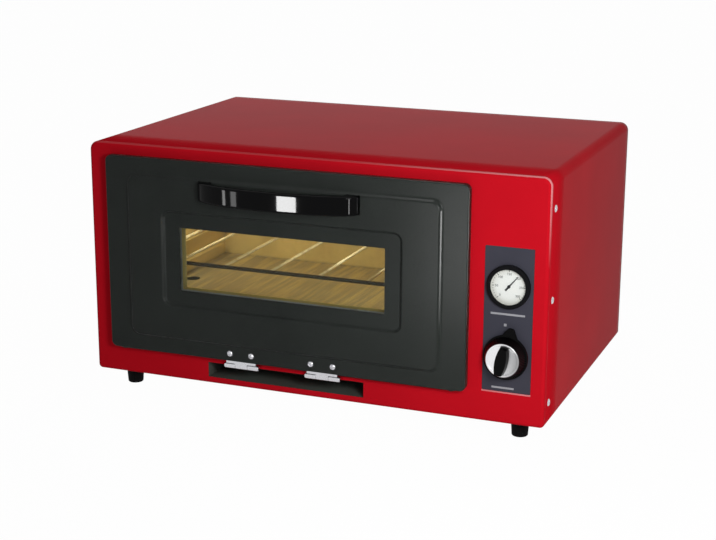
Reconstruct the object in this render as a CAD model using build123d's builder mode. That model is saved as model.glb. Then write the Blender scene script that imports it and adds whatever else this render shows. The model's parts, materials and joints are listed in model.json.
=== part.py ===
from build123d import *
import os
from math import sqrt

os.makedirs("parts", exist_ok=True)

# Portable gas oven, in millimetres. X runs along the front from left to right, Y runs from the
# front to the back, and Z = 0 is the surface that the four feet stand on.

# Casing
casing_width = 550.0
casing_height = 276.0
casing_depth = 370.0
sheet = 1.0
casing_bend = 10.0
toe_bend = 5.0
toe_flange = 50.0
front_edge_depth = 6.0
front_edge_round = 4.4
fascia_flange = 19.0
panel_gap = 0.15
rear_flange = 12.0
side_screw_setback = 18.0
side_screw_heights = (25.0, 140.0, 240.0)

# Feet
foot_height = 21.5
foot_top_radius = 10.5
foot_tip_radius = 9.0
foot_edge_round = 1.5
foot_inset_x = 34.0
foot_inset_y = 30.0
foot_stud_radius = 3.0
foot_stud_length = 9.0
stud_clearance = 0.2

# Door
door_left_margin = 26.0
control_bay_width = 86.0
door_bottom_margin = 34.0
door_top_margin = 12.4
door_corner = 7.0
door_edge_round = 2.0
door_flange_front = 10.0
door_back_gap = 1.5
raised_step = 4.0
raised_inset_side = 28.5
raised_inset_end = 18.5
raised_corner = 12.0
step_taper = 35.0
window_side_margin = 94.0
window_top_margin = 77.6
window_bottom_margin = 78.0
recess_border_side = 20.5
recess_border_end = 19.0
recess_corner = 10.0
glass_thickness = 4.0
glass_lap = 9.0
plug_clearance = 4.0
plug_depth = 6.0
plug_corner = 8.0
seal_width = 5.5
seal_gap = 0.3
seal_setback = 1.0

# Handle
handle_span = 195.0
handle_reach = 27.0
handle_height = 22.0
handle_top_margin = 31.6
handle_thickness = 8.5
handle_pad = 16.0
handle_screw_radius = 2.0
handle_screw_depth = 6.0
handle_screw_spare = 1.0
handle_round = 2.5

# Hinges
hinge_spacing = 100.6
hinge_length = 41.0
knuckle_radius = 3.1
leaf_thickness = 1.2
hinge_pin_radius = 1.75
hinge_clearance = 0.05
hinge_bore_overrun = 1.0
middle_knuckle = 15.0
knuckle_gap = 0.3
leaf_length = 18.0
leaf_neck_gap = 0.4
leaf_top_gap = 2.0
leaf_side_gap = 2.0
notch_side_gap = 1.0
leaf_screw_spread = 13.4
hinge_screw_head = 3.6
hinge_screw_dome = 2.2
hinge_screw_shank = 1.9
screw_run_out = 1.5
hinge_pin_rim = 0.9
hinge_pin_head = 0.9
hole_clearance = 0.1
slot_width = 194.0
slot_bottom_margin = 8.0
slot_top_margin = 26.0
slot_flange = 22.0
channel_depth = 45.0
frame_screw_setback = 12.0

# Cavity
liner_sheet = 0.8
cavity_side_overlap = 19.0
cavity_top_overlap = 15.6
cavity_floor_margin = 86.0
cavity_rear_space = 115.0
chamber_margin = 38.0
mouth_corner = 5.0
liner_flange = 5.5
floor_hole_radius = 9.0
floor_hole_inset = 19.0
pan_fold = 8.0
runner_levels = (20.0, 46.0, 94.0)
shelf_level = 1
runner_ledge = 10.0
runner_end_gap = 18.0
runner_strip_border = 8.0
insulation_thickness = 20.0
insulation_setback = 32.0
insulation_gap = 2.0
flue_width = 120.0
flue_height = 28.0
flue_drop = 2.0
flue_slot_height = 3.0
flue_slot_count = 4

# Wire shelf
shelf_frame_rod = 2.2
shelf_wire_rod = 1.7
shelf_wire_margin = 49.75
shelf_wire_count = 6
shelf_side_gap = 2.0
shelf_front_setback = 27.0
shelf_back_gap = 6.0
shelf_corner = 12.0
shelf_lift = 0.3

# Control panel
cutout_width = 54.7
cutout_height = 161.6
cutout_bottom_margin = 36.7
plate_thickness = 1.5
plate_border = 6.0
thermometer_margin = 155.0
bezel_radius = 24.0
bezel_depth = 5.0
bezel_lip = 0.6
case_radius = 21.8
case_depth = 14.0
case_wall = 1.0
lens_radius = 22.4
lens_thickness = 1.2
dial_radius = 20.6
dial_thickness = 0.6
bezel_edge = 0.8
bezel_ring = 3.0
lens_clearance = 0.05
case_step = 1.0
boss_radius = 4.0
boss_length = 5.0
needle_length = 15.0
needle_tail = 6.0
needle_angle = 40.0
needle_thickness = 0.4
needle_gap = 0.3
needle_tail_width = 2.2
needle_tip_width = 0.6
needle_shaft_radius = 0.6
needle_hub_radius = 1.8
needle_shaft_clearance = 0.1
needle_shaft_setback = 1.0

# Knob and gas valve
knob_margin = 78.0
knob_standoff = 4.5
knob_travel = 3.5
knob_skirt_radius = 25.0
knob_skirt_depth = 3.0
knob_cap_base_radius = 23.2
knob_cap_front_radius = 18.4
knob_cap_depth = 11.0
knob_cap_wall = 1.2
knob_cap_round = 0.8
knob_grip_width = 14.5
knob_grip_curve = 46.0
knob_grip_depth = 9.5
knob_grip_rim = 2.0
knob_grip_taper = 9.0
knob_grip_edge = 1.0
knob_grip_edge_taper = 40.0
knob_pointer_root = 2.0
knob_pointer_reach = 8.5
knob_pointer_width = 18.0
knob_pointer_tip = 6.0
knob_turn = 10.0
spindle_radius = 4.0
spindle_clearance = 0.05
spindle_tail_radius = 3.2
spindle_tail_reach = 12.0
spindle_front_gap = 3.0
valve_width = 30.0
valve_height = 32.0
valve_front_setback = 24.0
valve_depth = 30.0
valve_corner = 4.0
valve_wall = 2.0
piezo_radius = 7.0
piezo_setback = 4.0
piezo_sink = 2.0
valve_bracket_margin = 6.0
valve_ear_margin = 5.0
valve_ear_reach = 14.0
nose_radius = 8.6
spring_chamber_radius = 6.4
nose_wall = 4.0
collar_radius = 5.8
collar_thickness = 1.3
collar_gap = 0.2
spring_wire_radius = 0.35
spring_mean_radius = 4.9
spring_turns = 4
seat_thickness = 1.0
seat_gap = 0.1
seat_side_gap = 0.3

# Burner and gas parts
burner_radius = 10.0
burner_wall = 1.0
burner_margin = 58.0
burner_left_gap = 25.0
burner_port_count = 18
burner_port_width = 2.0
burner_port_margin = 22.0
burner_port_tilt = 40.0
burner_end_reach = 6.0
burner_bracket_width = 28.0
burner_bracket_foot = 14.0
burner_bracket_margin = 3.0
burner_bracket_left = 12.0
burner_bracket_right = 30.0
bracket_sheet = 1.2
injector_size = 12.0
injector_gap = 3.0
injector_chamfer = 1.0
nozzle_length = 8.0
nozzle_radius = 4.0
nozzle_taper = 12.0
pipe_radius = 4.0
burner_pipe_radius = 3.0
pipe_bend = 12.0
pipe_offset = 8.0
inlet_pipe_lift = 6.0
inlet_pipe_rise_start = 76.0
inlet_pipe_rise_end = 36.0
burner_pipe_drop = 8.0
burner_pipe_run = 24.0
inlet_thread_radius = 6.58
inlet_lock_radius = 7.0
inlet_relief_radius = 5.9
inlet_relief = 1.5
inlet_lead = 0.6
inlet_reach = 18.0
inlet_shoulder = 7.0
inlet_nut_thickness = 4.0
inlet_nut_flats = 20.0
inlet_margin = 45.0
inlet_offset = 12.0
lead_radius = 1.0
lead_bend = 8.0
lead_run = 20.0
capillary_setback = 30.0
capillary_drop = 12.0
capillary_rise = 10.0
capillary_turn = 10.0
bulb_radius = 3.0
bulb_length = 60.0
sensor_gap = 8.0
sensor_rise = 10.0
sensor_length = 24.0
sensor_wall_gap = 20.0
sensor_lead_offset = 2.0
sensor_lead_drop = 4.0
sensor_lead_lift = 8.0
sensor_lead_turn = 12.0
electrode_gap = 9.0
electrode_rise = 8.0
electrode_radius = 3.8
electrode_length = 34.0
electrode_tip = 14.0
electrode_reach = 12.0
electrode_socket = 2.0
electrode_lead_offset = 6.0
electrode_lead_lift = 10.0
electrode_lead_run = 12.0
electrode_lead_turn = 14.0

# Reference planes and levels worked out from the sizes above
door_reach = door_flange_front + raised_step
front_y = (door_reach + handle_reach - casing_depth - inlet_reach) / 2
rear_y = front_y + casing_depth
base_z = foot_height
top_z = base_z + casing_height
casing_front_y = front_y + front_edge_depth
left_x = -casing_width / 2
right_x = casing_width / 2

door_width = casing_width - door_left_margin - control_bay_width
door_x = left_x + door_left_margin + door_width / 2
door_right_x = door_x + door_width / 2
door_bottom_z = base_z + door_bottom_margin
door_top_z = top_z - door_top_margin
door_height = door_top_z - door_bottom_z
door_mid_z = (door_top_z + door_bottom_z) / 2
window_width = door_width - 2 * window_side_margin
window_height = door_height - window_top_margin - window_bottom_margin
window_z = door_bottom_z + window_bottom_margin + window_height / 2
handle_z = door_top_z - handle_top_margin
door_front_y = front_y - door_reach
door_flange_y = front_y - door_flange_front

cavity_width = door_width - 2 * cavity_side_overlap
cavity_top_z = door_top_z - cavity_top_overlap
cavity_floor_z = base_z + cavity_floor_margin
chamber_floor_z = base_z + chamber_margin
cavity_back_y = rear_y - cavity_rear_space
liner_front_y = front_y + sheet
liner_depth = cavity_back_y - liner_front_y
liner_left_x = door_x - cavity_width / 2
liner_right_x = door_x + cavity_width / 2

control_x = right_x - control_bay_width / 2
plate_y = front_y + sheet
thermometer_z = base_z + thermometer_margin
knob_z = base_z + knob_margin

slot_bottom_z = base_z + slot_bottom_margin
slot_top_z = base_z + slot_top_margin
hinge_axis_y = door_flange_y + sheet + knuckle_radius
hinge_axis_z = slot_top_z + knuckle_radius - leaf_thickness
hinge_centers = (door_x - hinge_spacing / 2, door_x + hinge_spacing / 2)
door_screw_z = door_bottom_z + raised_inset_end / 2
screw_spots = [x + side * leaf_screw_spread for x in hinge_centers for side in (-1, 1)]

burner_y = front_y + liner_depth / 2
burner_z = base_z + burner_margin
sensor_y = burner_y + burner_radius + sensor_gap
sensor_z = burner_z + sensor_rise
electrode_y = burner_y - burner_radius - electrode_gap
electrode_z = burner_z + electrode_rise
capillary_y = burner_y - capillary_setback
capillary_z = cavity_top_z - capillary_drop
inlet_x = control_x + inlet_offset
inlet_z = base_z + inlet_margin


def facing_front(y):
    """Sketch plane at depth y, drawn as the user sees it from the front."""
    return Plane.XZ.offset(-y)


def seen_from_right(x):
    """Sketch plane at x with Y to the right and Z up."""
    return Plane.YZ.offset(x)


def casing_section(y, inset):
    """The casing's outline seen from the front, drawn inset inside its outer skin."""
    with BuildSketch(facing_front(y)) as section:
        with Locations((0, base_z + casing_height / 2)):
            Rectangle(casing_width - 2 * inset, casing_height - 2 * inset)
        fillet(section.vertices().group_by(Axis.Y)[-1], casing_bend - inset)
        fillet(section.vertices().group_by(Axis.Y)[0], toe_bend - inset)
    return section.sketch


def panel_section(y, width, height, z, corner, x=door_x):
    """A rounded rectangle seen from the front, centred at x and z."""
    with BuildSketch(facing_front(y)) as section:
        with Locations((x, z)):
            RectangleRounded(width, height, corner)
    return section.sketch


def screw_profile(seat, head_radius, dome, shank_radius, shank_length):
    """Half the outline of a domed screw whose head sits on the seat plane."""
    ball = (head_radius**2 + dome**2) / (2 * dome)
    with BuildSketch(Plane(seat.origin, x_dir=seat.x_dir, z_dir=-seat.y_dir)) as profile:
        with BuildLine():
            Polyline((0, dome), (0, -shank_length), (shank_radius, -shank_length),
                     (shank_radius, 0), (head_radius, 0))
            ThreePointArc((head_radius, 0),
                          (head_radius / 2, sqrt(ball**2 - head_radius**2 / 4) - ball + dome),
                          (0, dome))
        make_face()
    return profile.sketch


def tube_route(points, bend):
    """A line through the points with every corner rounded."""
    with BuildLine() as route:
        FilletPolyline(*points, radius=bend)
    return route.line


def tube_end(route, radius):
    """The round section that a tube is swept from, at the start of its route."""
    with BuildSketch(Plane(route @ 0, z_dir=route % 0)) as section:
        Circle(radius)
    return section.sketch


# Outer casing: one sheet bent over the top and both sides, with its lower edges turned in
casing_length = rear_y - casing_front_y
side_screw_y = front_y + side_screw_setback
side_screw_radius = 2.0
side_screw_run_out = 2.0
with BuildPart() as outer_casing:
    extrude(casing_section(casing_front_y, 0), amount=-casing_length)
    extrude(casing_section(casing_front_y, sheet), amount=-casing_length, mode=Mode.SUBTRACT)
    with Locations((0, (casing_front_y + rear_y) / 2, base_z)):
        Box(casing_width - 2 * toe_flange, casing_length, 2.5 * sheet, mode=Mode.SUBTRACT)
    for side in (-1, 1):
        with BuildSketch(seen_from_right(side * right_x)):
            with Locations(*[(side_screw_y, base_z + height) for height in side_screw_heights]):
                Circle(side_screw_radius + hole_clearance)
        extrude(amount=-4 * side * sheet, mode=Mode.SUBTRACT)
    with Locations(*[(side * (right_x - foot_inset_x), y, base_z) for side in (-1, 1)
                     for y in (front_y + foot_inset_y, rear_y - foot_inset_y)]):
        Cylinder(foot_stud_radius + stud_clearance, 4 * sheet, mode=Mode.SUBTRACT)

# Front fascia: a pressed pan with a rolled edge and a joggled flange inside the casing
flange_inset = sheet + panel_gap
with BuildPart() as fascia_hollow:
    extrude(casing_section(front_y + sheet, sheet), amount=-(front_edge_depth - 2 * sheet))
    fillet(fascia_hollow.faces().sort_by(Axis.Y)[0].edges(), front_edge_round - sheet)
    extrude(casing_section(front_y + 2 * sheet, flange_inset + sheet),
            amount=-(front_edge_depth + fascia_flange))

mouth_height = cavity_top_z - cavity_floor_z
mouth_z = (cavity_top_z + cavity_floor_z) / 2
magnet_width = 36.0
magnet_height = 6.0
magnet_depth = 8.0
magnet_rim = 1.0
magnet_z = (cavity_top_z + seal_setback + seal_width + door_top_z - sheet) / 2
cutout_z = base_z + cutout_bottom_margin + cutout_height / 2
with BuildPart() as front_fascia:
    extrude(casing_section(front_y, 0), amount=-front_edge_depth)
    fillet(front_fascia.faces().sort_by(Axis.Y)[0].edges(), front_edge_round)
    extrude(casing_section(casing_front_y, flange_inset), amount=-fascia_flange)
    add(fascia_hollow.part, mode=Mode.SUBTRACT)
    with BuildSketch(facing_front(front_y - sheet)):
        with Locations((door_x, mouth_z)):
            RectangleRounded(cavity_width, mouth_height, mouth_corner)
        with Locations((control_x, cutout_z)):
            RectangleRounded(cutout_width, cutout_height, 1.5 * sheet)
        with Locations((door_x, (slot_bottom_z + slot_top_z) / 2)):
            Rectangle(slot_width, slot_top_z - slot_bottom_z)
        with Locations((door_x, magnet_z)):
            Rectangle(magnet_width, magnet_height)
    extrude(amount=-4 * sheet, mode=Mode.SUBTRACT)
    with BuildSketch(facing_front(front_y)):
        with Locations((door_x, slot_top_z + sheet / 2)):
            Rectangle(slot_width, sheet)
    extrude(amount=-slot_flange)
    with Locations(*[(x, front_y + frame_screw_setback, slot_top_z) for x in screw_spots]):
        Cylinder(hinge_screw_shank + hole_clearance, 4 * sheet, mode=Mode.SUBTRACT)
    for side in (-1, 1):
        with BuildSketch(seen_from_right(side * right_x)):
            with Locations(*[(side_screw_y, base_z + height) for height in side_screw_heights]):
                Circle(side_screw_radius + hole_clearance)
        extrude(amount=-4 * side * sheet, mode=Mode.SUBTRACT)

# Rear panel: a flanged pan with the flue grille, cooling slots and the gas inlet hole
flue_z = cavity_top_z - flue_drop - flue_height / 2
cooling_slot_width = 5.0
cooling_slot_height = 42.0
cooling_slot_pitch = 14.0
cooling_slot_count = 9
cooling_height = 62.0
cooling_z = base_z + cooling_height
with BuildPart() as rear_panel:
    extrude(casing_section(rear_y - rear_flange, flange_inset), amount=-rear_flange)
    extrude(casing_section(rear_y - rear_flange, flange_inset + sheet),
            amount=-(rear_flange - sheet), mode=Mode.SUBTRACT)
    with BuildSketch(facing_front(rear_y - 2 * sheet)):
        with Locations((door_x, flue_z)):
            with GridLocations(0, 2 * flue_slot_height, 1, flue_slot_count):
                SlotOverall(flue_width - 4 * flue_slot_height, flue_slot_height)
        for bank_x in (door_x - cavity_width / 4, door_x + cavity_width / 4):
            with Locations((bank_x, cooling_z)):
                with GridLocations(cooling_slot_pitch, 0, cooling_slot_count, 1):
                    SlotOverall(cooling_slot_height, cooling_slot_width, rotation=90)
        with Locations((inlet_x, inlet_z)):
            Circle(inlet_lock_radius + hole_clearance)
    extrude(amount=-4 * sheet, mode=Mode.SUBTRACT)

# Base plate: lies on the fascia's and the rear panel's lower flanges, with air slots
base_top_z = base_z + flange_inset + 2 * sheet
base_length = casing_depth - front_edge_depth - sheet
base_width = casing_width - 2 * (flange_inset + sheet) - 2 * toe_bend
air_slot_length = 60.0
air_slot_width = 5.0
air_slot_pitch = 81.0
air_slot_row_pitch = 16.0
air_slot_count = 4
with BuildPart() as base_plate:
    with BuildSketch(Plane.XY.offset(base_top_z - sheet)):
        with Locations((0, casing_front_y + base_length / 2)):
            Rectangle(base_width, base_length)
        with Locations((door_x, burner_y)):
            with GridLocations(air_slot_pitch, air_slot_row_pitch, air_slot_count, air_slot_count):
                SlotOverall(air_slot_length, air_slot_width, mode=Mode.SUBTRACT)
        with Locations(*[(side * (right_x - foot_inset_x), y) for side in (-1, 1)
                         for y in (front_y + foot_inset_y, rear_y - foot_inset_y)]):
            Circle(foot_stud_radius + stud_clearance, mode=Mode.SUBTRACT)
    extrude(amount=sheet)

# Feet: turned rubber pads, each with a moulded stud pushed up through the sheets
stud_barb = 1.2
stud_barb_length = 2.5
feet = {}
for side_name, side in (("left", -1), ("right", 1)):
    for end_name, foot_y in (("front", front_y + foot_inset_y), ("rear", rear_y - foot_inset_y)):
        foot_x = side * (right_x - foot_inset_x)
        with BuildPart() as foot:
            with BuildSketch(Plane((foot_x, foot_y, 0), x_dir=(1, 0, 0), z_dir=(0, -1, 0))):
                with BuildLine():
                    Polyline((0, 0), (foot_tip_radius, 0), (foot_top_radius, foot_height),
                             (foot_stud_radius, foot_height),
                             (foot_stud_radius, foot_height + foot_stud_length - stud_barb_length),
                             (foot_stud_radius + stud_barb,
                              foot_height + foot_stud_length - stud_barb_length),
                             (foot_stud_radius, foot_height + foot_stud_length),
                             (0, foot_height + foot_stud_length), close=True)
                make_face()
            revolve(axis=Axis((foot_x, foot_y, 0), (0, 0, 1)))
            fillet(foot.faces().sort_by(Axis.Z)[0].edges(), foot_edge_round)
        feet[f"foot_{end_name}_{side_name}"] = foot

# Oven liner: sides and top in one sheet, with a front flange and lugs for the floor plate
liner_height = cavity_top_z - chamber_floor_z
lug_width = 6.0
with BuildPart() as liner_shell:
    with BuildSketch(facing_front(liner_front_y)):
        with Locations((door_x, chamber_floor_z + (liner_height + liner_sheet) / 2)):
            Rectangle(cavity_width + 2 * liner_sheet, liner_height + liner_sheet)
        with Locations((door_x, chamber_floor_z + liner_height / 2)):
            Rectangle(cavity_width, liner_height, mode=Mode.SUBTRACT)
    extrude(amount=-liner_depth)
    with BuildSketch(facing_front(liner_front_y)):
        with Locations((door_x, chamber_floor_z + (liner_height + liner_flange) / 2)):
            Rectangle(cavity_width + 2 * liner_flange, liner_height + liner_flange)
        with Locations((door_x, chamber_floor_z + liner_height / 2)):
            Rectangle(cavity_width, liner_height, mode=Mode.SUBTRACT)
        with Locations((door_x, magnet_z)):
            Rectangle(magnet_width + 2 * magnet_rim, magnet_height + 2 * magnet_rim,
                      mode=Mode.SUBTRACT)
    extrude(amount=-liner_sheet)
    lug_top_z = cavity_floor_z - liner_sheet
    for side in (-1, 1):
        with BuildSketch(facing_front(liner_front_y)):
            with Locations((door_x + side * (cavity_width - lug_width) / 2,
                            lug_top_z - liner_sheet / 2)):
                Rectangle(lug_width, liner_sheet)
        extrude(amount=-liner_depth)
    with BuildSketch(seen_from_right(liner_right_x)):
        with Locations((burner_y, burner_z)):
            Circle(burner_radius + 2 * hole_clearance)
        with Locations((sensor_y, sensor_z)):
            Circle(2 * lead_radius + hole_clearance)
        with Locations((electrode_y, electrode_z)):
            Circle(electrode_radius + hole_clearance)
        with Locations((capillary_y, capillary_z)):
            Circle(lead_radius + hole_clearance)
    extrude(amount=3 * liner_sheet, both=True, mode=Mode.SUBTRACT)

with BuildPart() as liner_back:
    with BuildSketch(facing_front(cavity_back_y)):
        with Locations((door_x, chamber_floor_z + (liner_height + liner_sheet) / 2)):
            Rectangle(cavity_width + 2 * liner_sheet, liner_height + liner_sheet)
        with Locations((door_x, flue_z)):
            Rectangle(flue_width - 4 * liner_sheet, flue_height - 8 * liner_sheet,
                      mode=Mode.SUBTRACT)
    extrude(amount=-liner_sheet)

with BuildPart() as burner_pan:
    with BuildSketch(Plane.XY.offset(chamber_floor_z)):
        with Locations((door_x, liner_front_y + liner_depth / 2)):
            Rectangle(cavity_width, liner_depth)
        with Locations((door_x, burner_y)):
            with GridLocations(air_slot_pitch, air_slot_row_pitch, air_slot_count, air_slot_count):
                SlotOverall(air_slot_length, air_slot_width, mode=Mode.SUBTRACT)
    extrude(amount=liner_sheet)
    for side in (-1, 1):
        with BuildSketch(facing_front(liner_front_y)):
            with Locations((door_x + side * (cavity_width - liner_sheet) / 2,
                            chamber_floor_z + pan_fold / 2)):
                Rectangle(liner_sheet, pan_fold)
        extrude(amount=-liner_depth)

with BuildPart() as floor_plate:
    with BuildSketch(Plane.XY.offset(lug_top_z)):
        with Locations((door_x, liner_front_y + liner_depth / 2)):
            Rectangle(cavity_width, liner_depth)
        with Locations(*[(door_x + side * (cavity_width / 2 - floor_hole_inset), burner_y)
                         for side in (-1, 1)]):
            Circle(floor_hole_radius, mode=Mode.SUBTRACT)
    extrude(amount=liner_sheet)

# Shelf runners: a strip on each side wall with three turned-in ledges
runner_length = liner_depth - 2 * runner_end_gap
runner_bottom_z = cavity_floor_z + runner_levels[0] - runner_strip_border
runner_top_z = cavity_floor_z + runner_levels[-1] + runner_strip_border
runners = {}
for side_name, side, wall_x in (("left", 1, liner_left_x), ("right", -1, liner_right_x)):
    with BuildPart() as runner:
        with BuildSketch(facing_front(liner_front_y + runner_end_gap)):
            with Locations((wall_x + side * liner_sheet / 2, (runner_bottom_z + runner_top_z) / 2)):
                Rectangle(liner_sheet, runner_top_z - runner_bottom_z)
            for level in runner_levels:
                with Locations((wall_x + side * runner_ledge / 2,
                                cavity_floor_z + level - liner_sheet / 2)):
                    Rectangle(runner_ledge, liner_sheet)
        extrude(amount=-runner_length)
    runners[f"shelf_runner_{side_name}"] = runner

# Insulation: stiff mineral wool boards against the liner
board_front_y = front_y + insulation_setback
board_length = cavity_back_y - board_front_y
side_board_bottom_z = cavity_floor_z
side_board_height = cavity_top_z - side_board_bottom_z
with BuildPart() as insulation_top:
    with BuildSketch(Plane.XY.offset(cavity_top_z + liner_sheet)):
        with Locations((door_x, board_front_y + board_length / 2)):
            Rectangle(cavity_width, board_length)
    extrude(amount=insulation_thickness)

side_boards = {}
for side_name, side, wall_x in (("left", -1, liner_left_x), ("right", 1, liner_right_x)):
    with BuildPart() as board:
        with BuildSketch(seen_from_right(wall_x + side * liner_sheet)):
            with Locations((board_front_y + board_length / 2,
                            side_board_bottom_z + side_board_height / 2)):
                Rectangle(board_length, side_board_height)
            with Locations((capillary_y, capillary_z)):
                Circle(2 * lead_radius, mode=Mode.SUBTRACT)
        extrude(amount=side * insulation_thickness)
    side_boards[f"insulation_{side_name}"] = board

with BuildPart() as insulation_back:
    back_board_height = flue_z - flue_height / 2 - side_board_bottom_z - insulation_gap
    with BuildSketch(facing_front(cavity_back_y + liner_sheet)):
        with Locations((door_x, side_board_bottom_z + back_board_height / 2)):
            Rectangle(cavity_width, back_board_height)
    extrude(amount=-insulation_thickness)

# Flue duct from the cavity's back wall to the grille in the rear panel
flue_length = rear_y - sheet - cavity_back_y - liner_sheet
with BuildPart() as flue_duct:
    with BuildSketch(facing_front(cavity_back_y + liner_sheet)):
        with Locations((door_x, flue_z)):
            RectangleRounded(flue_width, flue_height, 2 * liner_sheet)
            Rectangle(flue_width - 2 * liner_sheet, flue_height - 2 * liner_sheet,
                      mode=Mode.SUBTRACT)
    extrude(amount=-flue_length)

# Burner: a tube across the oven with two rows of flame ports, open at its mixing end
burner_left_x = liner_left_x + burner_left_gap
burner_right_x = liner_right_x + liner_sheet + insulation_thickness + burner_end_reach
burner_length = burner_right_x - burner_left_x
port_row_x = burner_left_x + burner_port_margin
port_row_length = cavity_width - 2 * (burner_left_gap + burner_port_margin)
burner_port_pitch = port_row_length / (burner_port_count - 1)
with BuildPart() as burner_tube:
    with BuildSketch(seen_from_right(burner_left_x)):
        with Locations((burner_y, burner_z)):
            Circle(burner_radius)
    extrude(amount=burner_length)
    with BuildSketch(seen_from_right(burner_left_x + 2 * burner_wall)):
        with Locations((burner_y, burner_z)):
            Circle(burner_radius - burner_wall)
    extrude(amount=burner_length, mode=Mode.SUBTRACT)
    for tilt in (-burner_port_tilt, burner_port_tilt):
        with Locations(*[Location((port_row_x + i * burner_port_pitch, burner_y, burner_z),
                                  (tilt, 0, 0)) for i in range(burner_port_count)]):
            Box(burner_port_width, burner_port_width * 3, 2 * burner_radius,
                align=(Align.CENTER, Align.CENTER, Align.MIN), mode=Mode.SUBTRACT)

bracket_bottom_z = chamber_floor_z + liner_sheet
bracket_top_z = burner_z + burner_radius + burner_bracket_margin
with BuildPart() as burner_brackets:
    for bracket_x in (burner_left_x + burner_bracket_left,
                      liner_right_x - burner_bracket_right):
        with BuildSketch(seen_from_right(bracket_x)):
            with Locations((burner_y, (bracket_bottom_z + bracket_top_z) / 2)):
                Rectangle(burner_bracket_width, bracket_top_z - bracket_bottom_z)
            with Locations((burner_y, burner_z)):
                Circle(burner_radius, mode=Mode.SUBTRACT)
        extrude(amount=bracket_sheet)
        with BuildSketch(Plane.XY.offset(bracket_bottom_z)):
            with Locations((bracket_x + burner_bracket_foot / 2, burner_y)):
                Rectangle(burner_bracket_foot, burner_bracket_width)
        extrude(amount=bracket_sheet)

# Injector: a brass block whose nozzle points into the burner's open end
injector_x = burner_right_x + injector_gap + injector_size / 2
with BuildPart() as gas_injector:
    with Locations((injector_x, burner_y, burner_z)):
        Box(injector_size, injector_size, injector_size)
    chamfer(gas_injector.edges().filter_by(Axis.X), injector_chamfer)
    with BuildSketch(seen_from_right(injector_x - injector_size / 2)):
        with Locations((burner_y, burner_z)):
            Circle(nozzle_radius)
    extrude(amount=-nozzle_length, taper=nozzle_taper)

with BuildPart() as injector_bracket:
    with BuildSketch(facing_front(burner_y - injector_size / 2)):
        with Locations((injector_x, (base_top_z + burner_z - injector_size / 2) / 2)):
            Rectangle(injector_size, burner_z - injector_size / 2 - base_top_z)
    extrude(amount=-bracket_sheet)
    with BuildSketch(Plane.XY.offset(base_top_z)):
        with Locations((injector_x, burner_y)):
            Rectangle(injector_size, injector_size)
    extrude(amount=bracket_sheet)
    with BuildSketch(Plane.XY.offset(burner_z - injector_size / 2 - bracket_sheet)):
        with Locations((injector_x, burner_y)):
            Rectangle(injector_size, injector_size)
    extrude(amount=bracket_sheet)

# Gas valve: a cast body behind the control plate, with a hollow nose for the spindle and spring
valve_front_y = front_y + valve_front_setback
valve_back_y = valve_front_y + valve_depth
nose_front_y = plate_y
chamber_front_y = nose_front_y + nose_wall
chamber_back_y = valve_front_y - valve_wall
spindle_back_y = valve_front_y + spindle_tail_reach
with BuildPart() as gas_valve_body:
    with BuildSketch(facing_front(valve_front_y)):
        with Locations((control_x, knob_z)):
            RectangleRounded(valve_width, valve_height, valve_corner)
    extrude(amount=-valve_depth)
    with BuildSketch(facing_front(nose_front_y)):
        with Locations((control_x, knob_z)):
            Circle(nose_radius)
    extrude(amount=-(valve_front_y - nose_front_y))
    with BuildSketch(facing_front(valve_front_y + piezo_setback)):
        with Locations((control_x, knob_z + valve_height / 2 + piezo_radius - piezo_sink)):
            Circle(piezo_radius)
    extrude(amount=-(valve_depth - 2 * piezo_setback))
    with BuildSketch(facing_front(nose_front_y - sheet)):
        with Locations((control_x, knob_z)):
            Circle(spindle_radius + spindle_clearance)
    extrude(amount=-(nose_wall + 2 * sheet), mode=Mode.SUBTRACT)
    with BuildSketch(facing_front(chamber_front_y)):
        with Locations((control_x, knob_z)):
            Circle(spring_chamber_radius)
    extrude(amount=-(chamber_back_y - chamber_front_y), mode=Mode.SUBTRACT)
    with BuildSketch(facing_front(chamber_front_y)):
        with Locations((control_x, knob_z)):
            Circle(spindle_tail_radius + spindle_clearance)
    extrude(amount=-(spindle_back_y + knob_travel + valve_wall - chamber_front_y), mode=Mode.SUBTRACT)

bracket_y = plate_y + plate_thickness
with BuildPart() as valve_bracket:
    with BuildSketch(facing_front(bracket_y)):
        with Locations((control_x, knob_z)):
            Rectangle(cutout_width, valve_height + 2 * valve_bracket_margin)
            Circle(nose_radius + hole_clearance, mode=Mode.SUBTRACT)
    extrude(amount=-bracket_sheet)
    for side in (-1, 1):
        with BuildSketch(facing_front(bracket_y)):
            with Locations((control_x + side * (valve_width + bracket_sheet) / 2, knob_z)):
                Rectangle(bracket_sheet, valve_height - 2 * valve_ear_margin)
        extrude(amount=-(valve_front_y - bracket_y + valve_ear_reach))

# Spindle, spring seat and return spring inside the valve's nose
skirt_back_y = front_y - knob_standoff
cap_back_y = skirt_back_y - knob_skirt_depth
cap_front_y = cap_back_y - knob_cap_depth
core_front_y = cap_front_y + knob_cap_wall
spindle_front_y = cap_front_y + spindle_front_gap
collar_front_y = chamber_front_y + collar_gap
seat_front_y = collar_front_y + collar_thickness + seat_gap
seat_back_y = seat_front_y + seat_thickness
with BuildPart() as valve_spindle:
    with BuildSketch(seen_from_right(control_x)):
        with BuildLine():
            Polyline((spindle_front_y, knob_z), (spindle_front_y, knob_z + spindle_radius),
                     (collar_front_y, knob_z + spindle_radius),
                     (collar_front_y, knob_z + collar_radius),
                     (collar_front_y + collar_thickness, knob_z + collar_radius),
                     (collar_front_y + collar_thickness, knob_z + spindle_tail_radius),
                     (spindle_back_y, knob_z + spindle_tail_radius), (spindle_back_y, knob_z),
                     close=True)
        make_face()
    revolve(axis=Axis((control_x, 0, knob_z), (0, 1, 0)))

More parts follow.
